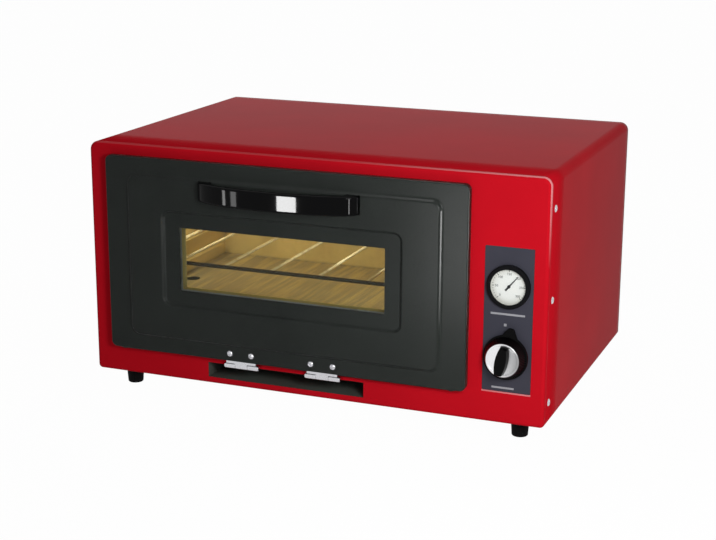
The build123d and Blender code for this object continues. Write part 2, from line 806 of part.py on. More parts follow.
with BuildPart() as spring_seat:
    with BuildSketch(facing_front(seat_front_y)):
        with Locations((control_x, knob_z)):
            Circle(spring_chamber_radius - seat_side_gap)
            Circle(spindle_tail_radius + seat_side_gap, mode=Mode.SUBTRACT)
    extrude(amount=-seat_thickness)

spring_length = chamber_back_y - seat_back_y - 2 * spring_wire_radius
spring_start_y = seat_back_y + spring_wire_radius
with BuildPart() as return_spring:
    with BuildLine() as spring_line:
        Helix(pitch=spring_length / spring_turns, height=spring_length, radius=spring_mean_radius,
              center=(control_x, spring_start_y, knob_z), direction=(0, 1, 0))
    with BuildSketch(Plane(spring_line.line @ 0, z_dir=spring_line.line % 0)):
        Circle(spring_wire_radius)
    sweep(is_frenet=True)

# Control knob: skirt with a pointer, a core and a leaf-shaped grip, under a plated cap
def knob_disc(y, radius):
    """A round section of the knob at depth y."""
    with BuildSketch(facing_front(y)) as disc:
        with Locations((control_x, knob_z)):
            Circle(radius)
    return disc.sketch


def grip_outline(y, spare):
    """The grip's leaf-shaped footprint, turned to the knob's rest position."""
    side_shift = knob_grip_curve - knob_grip_width / 2
    with BuildSketch(facing_front(y)) as outline:
        with Locations((control_x, knob_z)):
            Circle(knob_cap_front_radius - knob_grip_rim + spare)
        for side in (-1, 1):
            with Locations(Location((control_x, knob_z), -knob_turn)
                           * Location((side * side_shift, 0))):
                Circle(knob_grip_curve + spare, mode=Mode.INTERSECT)
    return outline.sketch


with BuildPart() as control_knob:
    extrude(knob_disc(skirt_back_y, knob_skirt_radius), amount=knob_skirt_depth)
    with BuildSketch(facing_front(skirt_back_y)):
        with Locations(Location((control_x, knob_z), -knob_turn)):
            Polygon((-knob_pointer_width / 2, knob_skirt_radius - knob_pointer_root),
                    (knob_pointer_width / 2, knob_skirt_radius - knob_pointer_root),
                    (knob_pointer_tip / 2, knob_skirt_radius + knob_pointer_reach),
                    (-knob_pointer_tip / 2, knob_skirt_radius + knob_pointer_reach),
                    align=None)
    extrude(amount=knob_skirt_depth)
    loft(sections=[knob_disc(cap_back_y, knob_cap_base_radius - knob_cap_wall),
                   knob_disc(core_front_y, knob_cap_front_radius - knob_cap_wall)])
    extrude(grip_outline(core_front_y, 0), amount=knob_grip_depth - knob_grip_edge,
            taper=knob_grip_taper)
    extrude(control_knob.faces().sort_by(Axis.Y)[0], amount=knob_grip_edge,
            taper=knob_grip_edge_taper)
    extrude(knob_disc(skirt_back_y, spindle_radius + spindle_clearance),
            amount=skirt_back_y - spindle_front_y, mode=Mode.SUBTRACT)

with BuildPart() as knob_face:
    loft(sections=[knob_disc(cap_back_y, knob_cap_base_radius),
                   knob_disc(cap_front_y, knob_cap_front_radius)])
    fillet(knob_face.faces().sort_by(Axis.Y)[0].edges(), knob_cap_round)
    loft(sections=[knob_disc(cap_back_y, knob_cap_base_radius - knob_cap_wall),
                   knob_disc(core_front_y, knob_cap_front_radius - knob_cap_wall)],
         mode=Mode.SUBTRACT)
    extrude(grip_outline(core_front_y + knob_cap_wall, hole_clearance),
            amount=3 * knob_cap_wall, mode=Mode.SUBTRACT)

# Control plate behind the cut-out in the fascia
with BuildPart() as control_plate:
    with BuildSketch(facing_front(plate_y)):
        with Locations((control_x, cutout_z)):
            Rectangle(cutout_width + 2 * plate_border, cutout_height + 2 * plate_border)
        with Locations((control_x, thermometer_z)):
            Circle(case_radius + 2 * hole_clearance, mode=Mode.SUBTRACT)
        with Locations((control_x, knob_z)):
            Circle(nose_radius + hole_clearance, mode=Mode.SUBTRACT)
    extrude(amount=-plate_thickness)

# Thermometer: a cup with a crimped bezel, a lens, a dial and a needle on a through shaft
bezel_front_y = plate_y - bezel_depth
lens_front_y = bezel_front_y + bezel_lip
lens_back_y = lens_front_y + lens_thickness
dial_back_y = plate_y
dial_front_y = dial_back_y - dial_thickness
case_back_y = plate_y + case_depth
boss_front_y = case_back_y - boss_length
case_bore = case_radius - case_wall
shaft_bore = needle_shaft_radius + needle_shaft_clearance
lens_seat = lens_radius + lens_clearance
with BuildPart() as thermometer_case:
    with BuildSketch(seen_from_right(control_x)):
        with BuildLine():
            Polyline((bezel_front_y, thermometer_z + lens_radius - bezel_ring),
                     (bezel_front_y, thermometer_z + bezel_radius - bezel_edge),
                     (bezel_front_y + bezel_edge, thermometer_z + bezel_radius),
                     (plate_y, thermometer_z + bezel_radius),
                     (plate_y, thermometer_z + case_radius),
                     (case_back_y, thermometer_z + case_radius),
                     (case_back_y, thermometer_z + shaft_bore),
                     (boss_front_y, thermometer_z + shaft_bore),
                     (boss_front_y, thermometer_z + boss_radius),
                     (case_back_y - case_wall, thermometer_z + boss_radius),
                     (case_back_y - case_wall, thermometer_z + case_bore - case_step),
                     (dial_back_y, thermometer_z + case_bore - case_step),
                     (dial_back_y, thermometer_z + case_bore),
                     (lens_back_y, thermometer_z + case_bore),
                     (lens_back_y, thermometer_z + lens_seat),
                     (lens_front_y, thermometer_z + lens_seat),
                     (lens_front_y, thermometer_z + lens_radius - bezel_ring), close=True)
        make_face()
    revolve(axis=Axis((control_x, 0, thermometer_z), (0, 1, 0)))

with BuildPart() as thermometer_lens:
    with BuildSketch(facing_front(lens_front_y)):
        with Locations((control_x, thermometer_z)):
            Circle(lens_radius)
    extrude(amount=-lens_thickness)

with BuildPart() as thermometer_dial:
    with BuildSketch(facing_front(dial_front_y)):
        with Locations((control_x, thermometer_z)):
            Circle(dial_radius)
            Circle(2 * needle_shaft_radius, mode=Mode.SUBTRACT)
    extrude(amount=-dial_thickness)

needle_back_y = dial_front_y - needle_gap
needle_front_y = needle_back_y - needle_thickness
with BuildPart() as thermometer_needle:
    with BuildSketch(facing_front(needle_back_y)):
        with Locations(Location((control_x, thermometer_z), -needle_angle)):
            Polygon((-needle_tail_width / 2, -needle_tail),
                    (needle_tail_width / 2, -needle_tail),
                    (needle_tip_width / 2, needle_length),
                    (-needle_tip_width / 2, needle_length), align=None)
        with Locations((control_x, thermometer_z)):
            Circle(needle_hub_radius)
    extrude(amount=needle_thickness)
    with BuildSketch(facing_front(needle_front_y)):
        with Locations((control_x, thermometer_z)):
            Circle(needle_shaft_radius)
    extrude(amount=-(case_back_y - needle_shaft_setback - needle_front_y))

# Thermometer's capillary and sensing bulb, which lies along the cavity's right wall
bulb_x = liner_right_x - runner_ledge / 2 - bulb_radius
capillary_bends = [(control_x, case_back_y, thermometer_z + capillary_rise),
                   (control_x, capillary_y - lead_run, thermometer_z + capillary_rise),
                   (control_x - capillary_turn, capillary_y, capillary_z),
                   (bulb_x, capillary_y, capillary_z)]
with BuildPart() as thermometer_capillary:
    capillary_line = tube_route(capillary_bends, lead_bend)
    sweep(tube_end(capillary_line, lead_radius), path=capillary_line)
    with BuildSketch(facing_front(capillary_y - bulb_radius)):
        with Locations((bulb_x, capillary_z)):
            Circle(bulb_radius)
    extrude(amount=-bulb_length)

# Gas pipes, from the inlet at the back to the valve and from the valve to the injector
pipe_start_y = rear_y - sheet - inlet_shoulder
inlet_pipe_bends = [(inlet_x, pipe_start_y, inlet_z),
                    (inlet_x, valve_back_y + inlet_pipe_rise_start, inlet_z),
                    (control_x + pipe_offset, valve_back_y + inlet_pipe_rise_end,
                     knob_z + inlet_pipe_lift),
                    (control_x + pipe_offset, valve_back_y, knob_z + inlet_pipe_lift)]
with BuildPart() as inlet_pipe:
    inlet_line = tube_route(inlet_pipe_bends, pipe_bend)
    sweep(tube_end(inlet_line, pipe_radius), path=inlet_line)

injector_face_y = burner_y - injector_size / 2
burner_outlet_x = control_x - pipe_offset
burner_outlet_z = knob_z - burner_pipe_drop
burner_pipe_bends = [(burner_outlet_x, valve_back_y, burner_outlet_z),
                     (burner_outlet_x, valve_back_y + burner_pipe_run, burner_outlet_z),
                     (injector_x, injector_face_y - burner_pipe_run, burner_z),
                     (injector_x, injector_face_y, burner_z)]
with BuildPart() as burner_pipe:
    burner_line = tube_route(burner_pipe_bends, pipe_bend)
    sweep(tube_end(burner_line, burner_pipe_radius), path=burner_line)

# Flame sensor and spark electrode beside the burner, with their leads to the valve
sensor_root_x = liner_right_x - sensor_wall_gap
sensor_lead_x = control_x + sensor_lead_offset
sensor_lead_z = knob_z - sensor_lead_drop
sensor_bends = [(sensor_lead_x, valve_back_y, sensor_lead_z),
                (sensor_lead_x, valve_back_y + lead_run, sensor_lead_z),
                (injector_x, sensor_y - lead_run, sensor_z + sensor_lead_lift),
                (injector_x - sensor_lead_turn, sensor_y, sensor_z),
                (sensor_root_x, sensor_y, sensor_z)]
with BuildPart() as flame_sensor:
    sensor_line = tube_route(sensor_bends, lead_bend)
    sweep(tube_end(sensor_line, lead_radius), path=sensor_line)
    with BuildSketch(seen_from_right(sensor_root_x)):
        with Locations((sensor_y, sensor_z)):
            Circle(2 * lead_radius)
    extrude(amount=-sensor_length)

electrode_end_x = liner_right_x + liner_sheet + electrode_reach
electrode_lead_x = control_x - electrode_lead_offset
electrode_lead_z = knob_z + electrode_lead_lift
electrode_bends = [(electrode_lead_x, valve_back_y, electrode_lead_z),
                   (electrode_lead_x, valve_back_y + electrode_lead_run, electrode_lead_z),
                   (electrode_end_x + electrode_lead_turn, electrode_y, electrode_z),
                   (electrode_end_x - electrode_socket, electrode_y, electrode_z)]
with BuildPart() as spark_electrode:
    electrode_line = tube_route(electrode_bends, lead_bend)
    sweep(tube_end(electrode_line, lead_radius), path=electrode_line)
    with BuildSketch(seen_from_right(electrode_end_x)):
        with Locations((electrode_y, electrode_z)):
            Circle(electrode_radius)
    extrude(amount=-electrode_length)
    with BuildSketch(seen_from_right(electrode_end_x - electrode_length)):
        with Locations((electrode_y, electrode_z)):
            Circle(lead_radius)
    extrude(amount=-electrode_tip)

# Gas inlet: a bulkhead union through the rear panel, held by a lock nut, with the pipe
# thread's spigot behind a relief groove
inlet_thread_y = rear_y + inlet_nut_thickness + inlet_relief
inlet_tip_y = rear_y + inlet_reach
with BuildPart() as gas_inlet:
    with BuildSketch(facing_front(rear_y - sheet - inlet_shoulder)):
        with Locations((inlet_x, inlet_z)):
            RegularPolygon(inlet_nut_flats / 2, 6, major_radius=False)
    extrude(amount=-inlet_shoulder)
    with BuildSketch(facing_front(rear_y - sheet)):
        with Locations((inlet_x, inlet_z)):
            Circle(inlet_lock_radius)
    extrude(amount=-(sheet + inlet_nut_thickness))
    with BuildSketch(facing_front(rear_y + inlet_nut_thickness)):
        with Locations((inlet_x, inlet_z)):
            Circle(inlet_relief_radius)
    extrude(amount=-inlet_relief)
    with BuildSketch(facing_front(inlet_thread_y)):
        with Locations((inlet_x, inlet_z)):
            Circle(inlet_thread_radius)
    extrude(amount=-(inlet_tip_y - inlet_thread_y))
    chamfer(gas_inlet.faces().sort_by(Axis.Y)[-1].edges(), inlet_lead)
    with BuildSketch(facing_front(inlet_tip_y)):
        with Locations((inlet_x, inlet_z)):
            Circle(pipe_radius)
    extrude(amount=inlet_reach + sheet, mode=Mode.SUBTRACT)

with BuildPart() as inlet_nut:
    with BuildSketch(facing_front(rear_y)):
        with Locations((inlet_x, inlet_z)):
            RegularPolygon(inlet_nut_flats / 2, 6, major_radius=False)
            Circle(inlet_lock_radius + spindle_clearance, mode=Mode.SUBTRACT)
    extrude(amount=-inlet_nut_thickness)

# Hinge channel: the pan seen through the slot below the door
channel_fold = 8.0
channel_top_z = slot_top_z + sheet
with BuildPart() as hinge_channel:
    with BuildSketch(seen_from_right(door_x - slot_width / 2 - sheet)):
        with BuildLine():
            Polyline((front_y + sheet, slot_bottom_z - 3 * sheet),
                     (front_y + 2 * sheet, slot_bottom_z - 3 * sheet),
                     (front_y + 2 * sheet, slot_bottom_z - sheet),
                     (front_y + channel_depth + sheet, slot_bottom_z - sheet),
                     (front_y + channel_depth + sheet, channel_top_z + channel_fold),
                     (front_y + channel_depth, channel_top_z + channel_fold),
                     (front_y + channel_depth, slot_bottom_z),
                     (front_y + sheet, slot_bottom_z), close=True)
        make_face()
    extrude(amount=slot_width + 2 * sheet)
    for end_x in (door_x - slot_width / 2 - sheet, door_x + slot_width / 2):
        with BuildSketch(seen_from_right(end_x)):
            with Locations((front_y + (sheet + channel_depth) / 2,
                            (slot_bottom_z + channel_top_z) / 2)):
                Rectangle(channel_depth - sheet, channel_top_z - slot_bottom_z)
        extrude(amount=sheet)

# Hinges: rolled leaves, pins with formed heads, and domed screws
side_knuckle = (hinge_length - middle_knuckle) / 2 - knuckle_gap
leaf_neck = knuckle_radius + leaf_neck_gap
with BuildPart() as hinge_frame_leaves:
    for hinge_x in hinge_centers:
        outer_x = hinge_x - hinge_length / 2
        inner_x = hinge_x + hinge_length / 2 - side_knuckle
        for start_x in (outer_x, inner_x):
            with BuildSketch(seen_from_right(start_x)):
                with Locations((hinge_axis_y, hinge_axis_z)):
                    Circle(knuckle_radius)
                with Locations((hinge_axis_y + leaf_neck / 2, slot_top_z - leaf_thickness / 2)):
                    Rectangle(leaf_neck, leaf_thickness)
            extrude(amount=side_knuckle)
        with BuildSketch(Plane.XY.offset(slot_top_z)):
            with Locations((hinge_x, (hinge_axis_y + leaf_neck + front_y + leaf_length) / 2)):
                Rectangle(hinge_length, front_y + leaf_length - hinge_axis_y - leaf_neck)
            with Locations(*[(hinge_x + side * leaf_screw_spread, front_y + frame_screw_setback)
                             for side in (-1, 1)]):
                Circle(hinge_screw_shank + hole_clearance, mode=Mode.SUBTRACT)
        extrude(amount=-leaf_thickness)
        with BuildSketch(seen_from_right(outer_x - hinge_bore_overrun)):
            with Locations((hinge_axis_y, hinge_axis_z)):
                Circle(hinge_pin_radius + hinge_clearance)
        extrude(amount=hinge_length + 2 * hinge_bore_overrun, mode=Mode.SUBTRACT)

door_leaf_bottom_z = hinge_axis_z + leaf_neck
door_leaf_top_z = door_bottom_z + raised_inset_end - leaf_top_gap
with BuildPart() as hinge_door_leaves:
    for hinge_x in hinge_centers:
        with BuildSketch(seen_from_right(hinge_x - middle_knuckle / 2)):
            with Locations((hinge_axis_y, hinge_axis_z)):
                Circle(knuckle_radius)
            with Locations((hinge_axis_y - knuckle_radius + leaf_thickness / 2,
                            hinge_axis_z + leaf_neck / 2)):
                Rectangle(leaf_thickness, leaf_neck)
            with Locations((hinge_axis_y, hinge_axis_z)):
                Circle(hinge_pin_radius + hinge_clearance, mode=Mode.SUBTRACT)
        extrude(amount=middle_knuckle)
        with BuildSketch(facing_front(door_flange_y + sheet)):
            with Locations((hinge_x, (door_leaf_bottom_z + door_leaf_top_z) / 2)):
                Rectangle(hinge_length - 2 * leaf_side_gap, door_leaf_top_z - door_leaf_bottom_z)
            with Locations(*[(hinge_x + side * leaf_screw_spread, door_screw_z)
                             for side in (-1, 1)]):
                Circle(hinge_screw_shank + hole_clearance, mode=Mode.SUBTRACT)
        extrude(amount=-leaf_thickness)

with BuildPart() as hinge_pins:
    for hinge_x in hinge_centers:
        with BuildSketch(seen_from_right(hinge_x - hinge_length / 2)):
            with Locations((hinge_axis_y, hinge_axis_z)):
                Circle(hinge_pin_radius)
        extrude(amount=hinge_length)
        for side in (-1, 1):
            with BuildSketch(seen_from_right(hinge_x + side * hinge_length / 2)):
                with Locations((hinge_axis_y, hinge_axis_z)):
                    Circle(hinge_pin_radius + hinge_pin_rim)
            extrude(amount=side * hinge_pin_head)

door_seats = [Plane((x, door_flange_y, door_screw_z), x_dir=(1, 0, 0), z_dir=(0, -1, 0))
              for x in screw_spots]
with BuildPart() as hinge_door_screws:
    for seat in door_seats:
        revolve(screw_profile(seat, hinge_screw_head, hinge_screw_dome, hinge_screw_shank,
                              sheet + leaf_thickness + screw_run_out), axis=Axis(seat.origin, seat.z_dir))

frame_seats = [Plane((x, front_y + frame_screw_setback, slot_top_z - leaf_thickness),
                     x_dir=(1, 0, 0), z_dir=(0, 0, -1)) for x in screw_spots]
with BuildPart() as hinge_frame_screws:
    for seat in frame_seats:
        revolve(screw_profile(seat, hinge_screw_head, hinge_screw_dome, hinge_screw_shank,
                              sheet + leaf_thickness + screw_run_out), axis=Axis(seat.origin, seat.z_dir))

# Door outer panel: a pressed pan with a raised field and a window recess
pan_depth = door_flange_front - door_back_gap
raised_width = door_width - 2 * raised_inset_side
raised_height = door_height - 2 * raised_inset_end
recess_width = window_width + 2 * recess_border_side
recess_height = window_height + 2 * recess_border_end
with BuildPart() as door_hollow:
    extrude(panel_section(door_flange_y + sheet, door_width - 2 * sheet, door_height - 2 * sheet,
                          door_mid_z, door_corner - sheet), amount=-pan_depth)
    extrude(panel_section(door_flange_y + sheet, raised_width - sheet, raised_height - sheet,
                          door_mid_z, raised_corner - sheet / 2), amount=raised_step,
            taper=step_taper)

with BuildPart() as recess_block:
    extrude(panel_section(door_front_y - sheet, recess_width + sheet, recess_height + sheet,
                          window_z, recess_corner + sheet / 2),
            amount=-(raised_step + sheet), taper=step_taper / 2)

with BuildPart() as recess_backing:
    extrude(panel_section(door_front_y, recess_width + 2.5 * sheet, recess_height + 2.5 * sheet,
                          window_z, recess_corner + sheet), amount=-(raised_step + sheet),
            taper=step_taper / 2)

with BuildPart() as door_outer_panel:
    extrude(panel_section(door_flange_y, door_width, door_height, door_mid_z, door_corner),
            amount=-pan_depth)
    fillet(door_outer_panel.faces().sort_by(Axis.Y)[0].edges(), door_edge_round)
    extrude(panel_section(door_flange_y, raised_width, raised_height, door_mid_z, raised_corner),
            amount=raised_step, taper=step_taper)
    add(door_hollow.part, mode=Mode.SUBTRACT)
    add(recess_backing.part)
    add(recess_block.part, mode=Mode.SUBTRACT)
    with BuildSketch(facing_front(door_front_y)):
        with Locations((door_x, window_z)):
            Rectangle(window_width, window_height)
    extrude(amount=-2 * raised_step, mode=Mode.SUBTRACT)
    with BuildSketch(facing_front(door_flange_y - sheet)):
        with Locations(*[(x, door_screw_z) for x in screw_spots]):
            Circle(hinge_screw_shank + hole_clearance)
    extrude(amount=-3 * sheet, mode=Mode.SUBTRACT)
    with BuildSketch(facing_front(door_front_y - sheet)):
        with Locations(*[(door_x + side * (handle_span - handle_pad) / 2, handle_z)
                         for side in (-1, 1)]):
            Circle(handle_screw_radius + hole_clearance)
    extrude(amount=-3 * sheet, mode=Mode.SUBTRACT)
    with Locations(*[(x, door_flange_y + sheet + pan_depth / 2, door_bottom_z)
                     for x in hinge_centers]):
        Box(hinge_length - 2 * notch_side_gap, pan_depth, 4 * sheet, mode=Mode.SUBTRACT)

# Glass panes, the outer pane's retainer, the inner panel and the seal
glass_width = window_width + 2 * glass_lap
glass_height = window_height + 2 * glass_lap
outer_glass_y = door_flange_y + sheet
retainer_y = outer_glass_y + glass_thickness
inner_panel_y = retainer_y + sheet
plug_back_y = front_y + plug_depth
inner_glass_y = plug_back_y - liner_sheet - glass_thickness
plug_width = cavity_width - 2 * plug_clearance
plug_height = mouth_height - 2 * plug_clearance
with BuildPart() as door_glass_outer:
    with BuildSketch(facing_front(outer_glass_y)):
        with Locations((door_x, window_z)):
            Rectangle(glass_width, glass_height)
    extrude(amount=-glass_thickness)

with BuildPart() as glass_retainer:
    with BuildSketch(facing_front(outer_glass_y)):
        with Locations((door_x, window_z)):
            Rectangle(glass_width + 2 * glass_lap, glass_height + 2 * glass_lap)
            Rectangle(window_width, window_height, mode=Mode.SUBTRACT)
    extrude(amount=-(glass_thickness + sheet))
    with BuildSketch(facing_front(outer_glass_y)):
        with Locations((door_x, window_z)):
            Rectangle(glass_width, glass_height)
    extrude(amount=-glass_thickness, mode=Mode.SUBTRACT)
    with BuildSketch(facing_front(outer_glass_y)):
        with Locations((door_x, window_z)):
            Rectangle(glass_width + 2 * glass_lap, glass_height + 2 * glass_lap)
            Rectangle(glass_width + 2 * sheet, glass_height + 2 * sheet, mode=Mode.SUBTRACT)
    extrude(amount=-glass_thickness, mode=Mode.SUBTRACT)

with BuildPart() as door_inner_panel:
    extrude(panel_section(inner_panel_y, door_width - 2 * sheet, door_height - 2 * sheet,
                          door_mid_z, door_corner - sheet / 2), amount=-liner_sheet)
    extrude(panel_section(inner_panel_y, plug_width, plug_height, mouth_z, plug_corner),
            amount=-(plug_back_y - inner_panel_y))
    extrude(panel_section(inner_panel_y, plug_width - 2 * liner_sheet,
                          plug_height - 2 * liner_sheet, mouth_z, plug_corner - liner_sheet),
            amount=-(plug_back_y - inner_panel_y - liner_sheet), mode=Mode.SUBTRACT)
    with BuildSketch(facing_front(inner_panel_y)):
        with Locations((door_x, window_z)):
            Rectangle(window_width, window_height)
    extrude(amount=-2 * (plug_back_y - inner_panel_y), mode=Mode.SUBTRACT)

with BuildPart() as door_glass_inner:
    with BuildSketch(facing_front(inner_glass_y)):
        with Locations((door_x, window_z)):
            Rectangle(glass_width, glass_height)
    extrude(amount=-glass_thickness)

seal_front_y = inner_panel_y + liner_sheet
seal_inner_width = cavity_width + 2 * seal_setback
seal_inner_height = mouth_height + 2 * seal_setback
with BuildPart() as door_seal:
    extrude(panel_section(seal_front_y, seal_inner_width + 2 * seal_width,
                          seal_inner_height + 2 * seal_width, mouth_z, mouth_corner + seal_width),
            amount=-(front_y - seal_gap - seal_front_y))
    extrude(panel_section(seal_front_y, seal_inner_width, seal_inner_height, mouth_z,
                          mouth_corner), amount=-(front_y - seal_front_y), mode=Mode.SUBTRACT)

# Magnetic catch in the fascia, just above the mouth
magnet_front_y = seal_front_y + seal_gap
with BuildPart() as door_magnet:
    with BuildSketch(facing_front(magnet_front_y)):
        with Locations((door_x, magnet_z)):
            Rectangle(magnet_width - 2 * hole_clearance, magnet_height - 2 * hole_clearance)
    extrude(amount=-(front_y + magnet_depth - magnet_front_y))
    with BuildSketch(facing_front(front_y + sheet)):
        with Locations((door_x, magnet_z)):
            Rectangle(magnet_width + 2 * magnet_rim, magnet_height + 2 * magnet_rim)
    extrude(amount=-2 * liner_sheet)

# Handle: a bowed grip with flat pads, screwed on from inside the door
half_span = handle_span / 2
grip_inner_span = half_span - handle_pad
with BuildPart() as door_handle:
    with BuildSketch(Plane.XY.offset(handle_z - handle_height / 2)):
        with Locations((door_x, door_front_y)):
            Ellipse(half_span, handle_reach)
            Ellipse(grip_inner_span, handle_reach - handle_thickness, mode=Mode.SUBTRACT)
        with Locations((door_x, door_front_y + handle_reach)):
            Rectangle(2 * handle_span, 2 * handle_reach, mode=Mode.SUBTRACT)
    extrude(amount=handle_height)
    fillet(door_handle.edges().filter_by(GeomType.ELLIPSE), handle_round)
    with BuildSketch(facing_front(door_front_y)):
        with Locations(*[(door_x + side * (handle_span - handle_pad) / 2, handle_z)
                         for side in (-1, 1)]):
            Circle(handle_screw_radius)
    extrude(amount=handle_screw_depth + handle_screw_spare, mode=Mode.SUBTRACT)

handle_seats = [Plane((door_x + side * (handle_span - handle_pad) / 2, door_front_y + sheet,
                       handle_z), x_dir=(-1, 0, 0), z_dir=(0, 1, 0)) for side in (-1, 1)]
with BuildPart() as handle_screws:
    for seat in handle_seats:
        revolve(screw_profile(seat, 2 * handle_screw_radius, handle_screw_radius,
                              handle_screw_radius, sheet + handle_screw_depth),
                axis=Axis(seat.origin, seat.z_dir))

# Casing screws along both front edges, and rear panel screws
casing_seats = [Plane((side * right_x, side_screw_y, base_z + height), x_dir=(0, side, 0),
                      z_dir=(side, 0, 0)) for side in (-1, 1) for height in side_screw_heights]
with BuildPart() as casing_screws:
    for seat in casing_seats:
        revolve(screw_profile(seat, 2 * side_screw_radius, 0.8 * side_screw_radius,
                              side_screw_radius, 3 * sheet + side_screw_run_out),
                axis=Axis(seat.origin, seat.z_dir))

# Wire shelf: a bent rod frame with straight wires from front to back
shelf_z = cavity_floor_z + runner_levels[shelf_level] + shelf_frame_rod + shelf_lift
shelf_front_y = front_y + shelf_front_setback
shelf_back_y = cavity_back_y - shelf_back_gap - shelf_frame_rod
shelf_half = cavity_width / 2 - liner_sheet - shelf_side_gap - shelf_frame_rod
shelf_wire_pitch = (cavity_width - 2 * (shelf_side_gap + shelf_wire_margin)) \
    / (shelf_wire_count - 1)
with BuildPart() as wire_shelf:
    with BuildLine(Plane.XY.offset(shelf_z)) as shelf_outline:
        FilletPolyline((door_x - shelf_half, shelf_front_y), (door_x + shelf_half, shelf_front_y),
                       (door_x + shelf_half, shelf_back_y), (door_x - shelf_half, shelf_back_y),
                       radius=shelf_corner, close=True)
    with BuildSketch(Plane(shelf_outline.line @ 0, z_dir=shelf_outline.line % 0)):
        Circle(shelf_frame_rod)
    sweep()
    with BuildSketch(facing_front(shelf_front_y)):
        with Locations((door_x, shelf_z)):
            with GridLocations(shelf_wire_pitch, 0, shelf_wire_count, 1):
                Circle(shelf_wire_rod)
    extrude(amount=-(shelf_back_y - shelf_front_y))

nodes = {
    "outer_casing": outer_casing, "front_fascia": front_fascia, "rear_panel": rear_panel,
    "base_plate": base_plate, **feet,
    "liner_shell": liner_shell, "liner_back": liner_back, "burner_pan": burner_pan,
    "floor_plate": floor_plate, **runners,
    "insulation_top": insulation_top, **side_boards, "insulation_back": insulation_back,
    "flue_duct": flue_duct, "burner_tube": burner_tube, "burner_brackets": burner_brackets,
    "gas_injector": gas_injector, "injector_bracket": injector_bracket,
    "gas_valve_body": gas_valve_body, "valve_bracket": valve_bracket,
    "valve_spindle": valve_spindle, "spring_seat": spring_seat, "return_spring": return_spring,
    "control_knob": control_knob, "knob_face": knob_face, "control_plate": control_plate,
    "thermometer_case": thermometer_case, "thermometer_lens": thermometer_lens,
    "thermometer_dial": thermometer_dial, "thermometer_needle": thermometer_needle,
    "thermometer_capillary": thermometer_capillary, "inlet_pipe": inlet_pipe,
    "burner_pipe": burner_pipe, "flame_sensor": flame_sensor, "spark_electrode": spark_electrode,
    "gas_inlet": gas_inlet, "inlet_nut": inlet_nut, "hinge_channel": hinge_channel,
    "hinge_frame_leaves": hinge_frame_leaves, "hinge_door_leaves": hinge_door_leaves,
    "hinge_pins": hinge_pins, "hinge_door_screws": hinge_door_screws,
    "hinge_frame_screws": hinge_frame_screws, "door_outer_panel": door_outer_panel,
    "door_glass_outer": door_glass_outer, "glass_retainer": glass_retainer,
    "door_inner_panel": door_inner_panel, "door_glass_inner": door_glass_inner,
    "door_seal": door_seal, "door_magnet": door_magnet, "door_handle": door_handle,
    "handle_screws": handle_screws, "casing_screws": casing_screws, "wire_shelf": wire_shelf,
}
for node_name, builder in nodes.items():
    builder.part.label = node_name
    export_step(builder.part, f"parts/{node_name}.step")
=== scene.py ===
import json
from functools import partial
from math import cos, pi, radians, sin

import bmesh
import bpy
from mathutils import Matrix, Vector


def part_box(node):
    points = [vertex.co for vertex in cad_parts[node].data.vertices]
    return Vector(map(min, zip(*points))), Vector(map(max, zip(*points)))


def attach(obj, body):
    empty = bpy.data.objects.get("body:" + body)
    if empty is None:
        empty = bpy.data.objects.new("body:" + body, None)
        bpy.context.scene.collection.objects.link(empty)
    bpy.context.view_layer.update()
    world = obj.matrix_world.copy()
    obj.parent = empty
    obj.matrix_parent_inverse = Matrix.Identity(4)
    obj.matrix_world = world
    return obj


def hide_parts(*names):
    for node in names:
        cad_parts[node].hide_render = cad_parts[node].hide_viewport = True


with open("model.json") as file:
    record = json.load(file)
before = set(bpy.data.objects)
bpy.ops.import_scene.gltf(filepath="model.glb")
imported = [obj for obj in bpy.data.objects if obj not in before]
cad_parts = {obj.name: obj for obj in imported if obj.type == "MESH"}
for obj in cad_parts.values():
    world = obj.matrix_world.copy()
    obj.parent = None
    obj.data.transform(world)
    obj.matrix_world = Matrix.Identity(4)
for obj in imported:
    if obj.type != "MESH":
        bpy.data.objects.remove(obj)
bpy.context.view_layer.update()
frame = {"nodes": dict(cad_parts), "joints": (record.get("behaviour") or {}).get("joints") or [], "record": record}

bl_info = {
    "name": "Portable Gas Oven",
    "version": (1, 0, 0),
    "blender": (4, 5, 0),
    "location": "View3D > Sidebar > Oven",
    "description": "Finishes a portable gas oven on its packed frame and sets up its studio",
    "category": "Add Mesh",
}

BODY_OF = {node: body for body, nodes in frame["record"]["behaviour"]["bodies"].items()
           for node in nodes}
SLOT_OF = {part["node"]: part["material_slot"] for part in frame["record"]["subparts"]}
JOINTS = {joint["name"]: joint for joint in frame["joints"]}
HINGE_LINE = Vector(JOINTS["door_hinge"]["pos_m"])
KNOB_CENTRE = Vector(JOINTS["knob_turn"]["pos_m"])
DIAL_CENTRE = Vector(JOINTS["needle_turn"]["pos_m"])
FRONT = Vector((0, -1, 0))
REAR = Vector((0, 1, 0))
PRINT_LIFT = 0.00006
SMOOTH_ANGLE = radians(38.0)


def display(red, green, blue):
    """A colour given as display values from 0 to 255, as the linear numbers that shaders use."""
    return tuple((level / 255 / 12.92) if level <= 10 else ((level / 255 + 0.055) / 1.055)**2.4
                 for level in (red, green, blue))


# Colours of the finishes and sizes of the added detail

def length(name, description, default):
    """A property that holds a length in metres."""
    return bpy.props.FloatProperty(name=name, description=description, default=default,
                                   min=0.0, unit="LENGTH", precision=5)


def paint(name, description, default):
    """A property that holds a linear colour."""
    return bpy.props.FloatVectorProperty(name=name, description=description, default=default,
                                         size=3, min=0.0, max=1.0, subtype="COLOR")


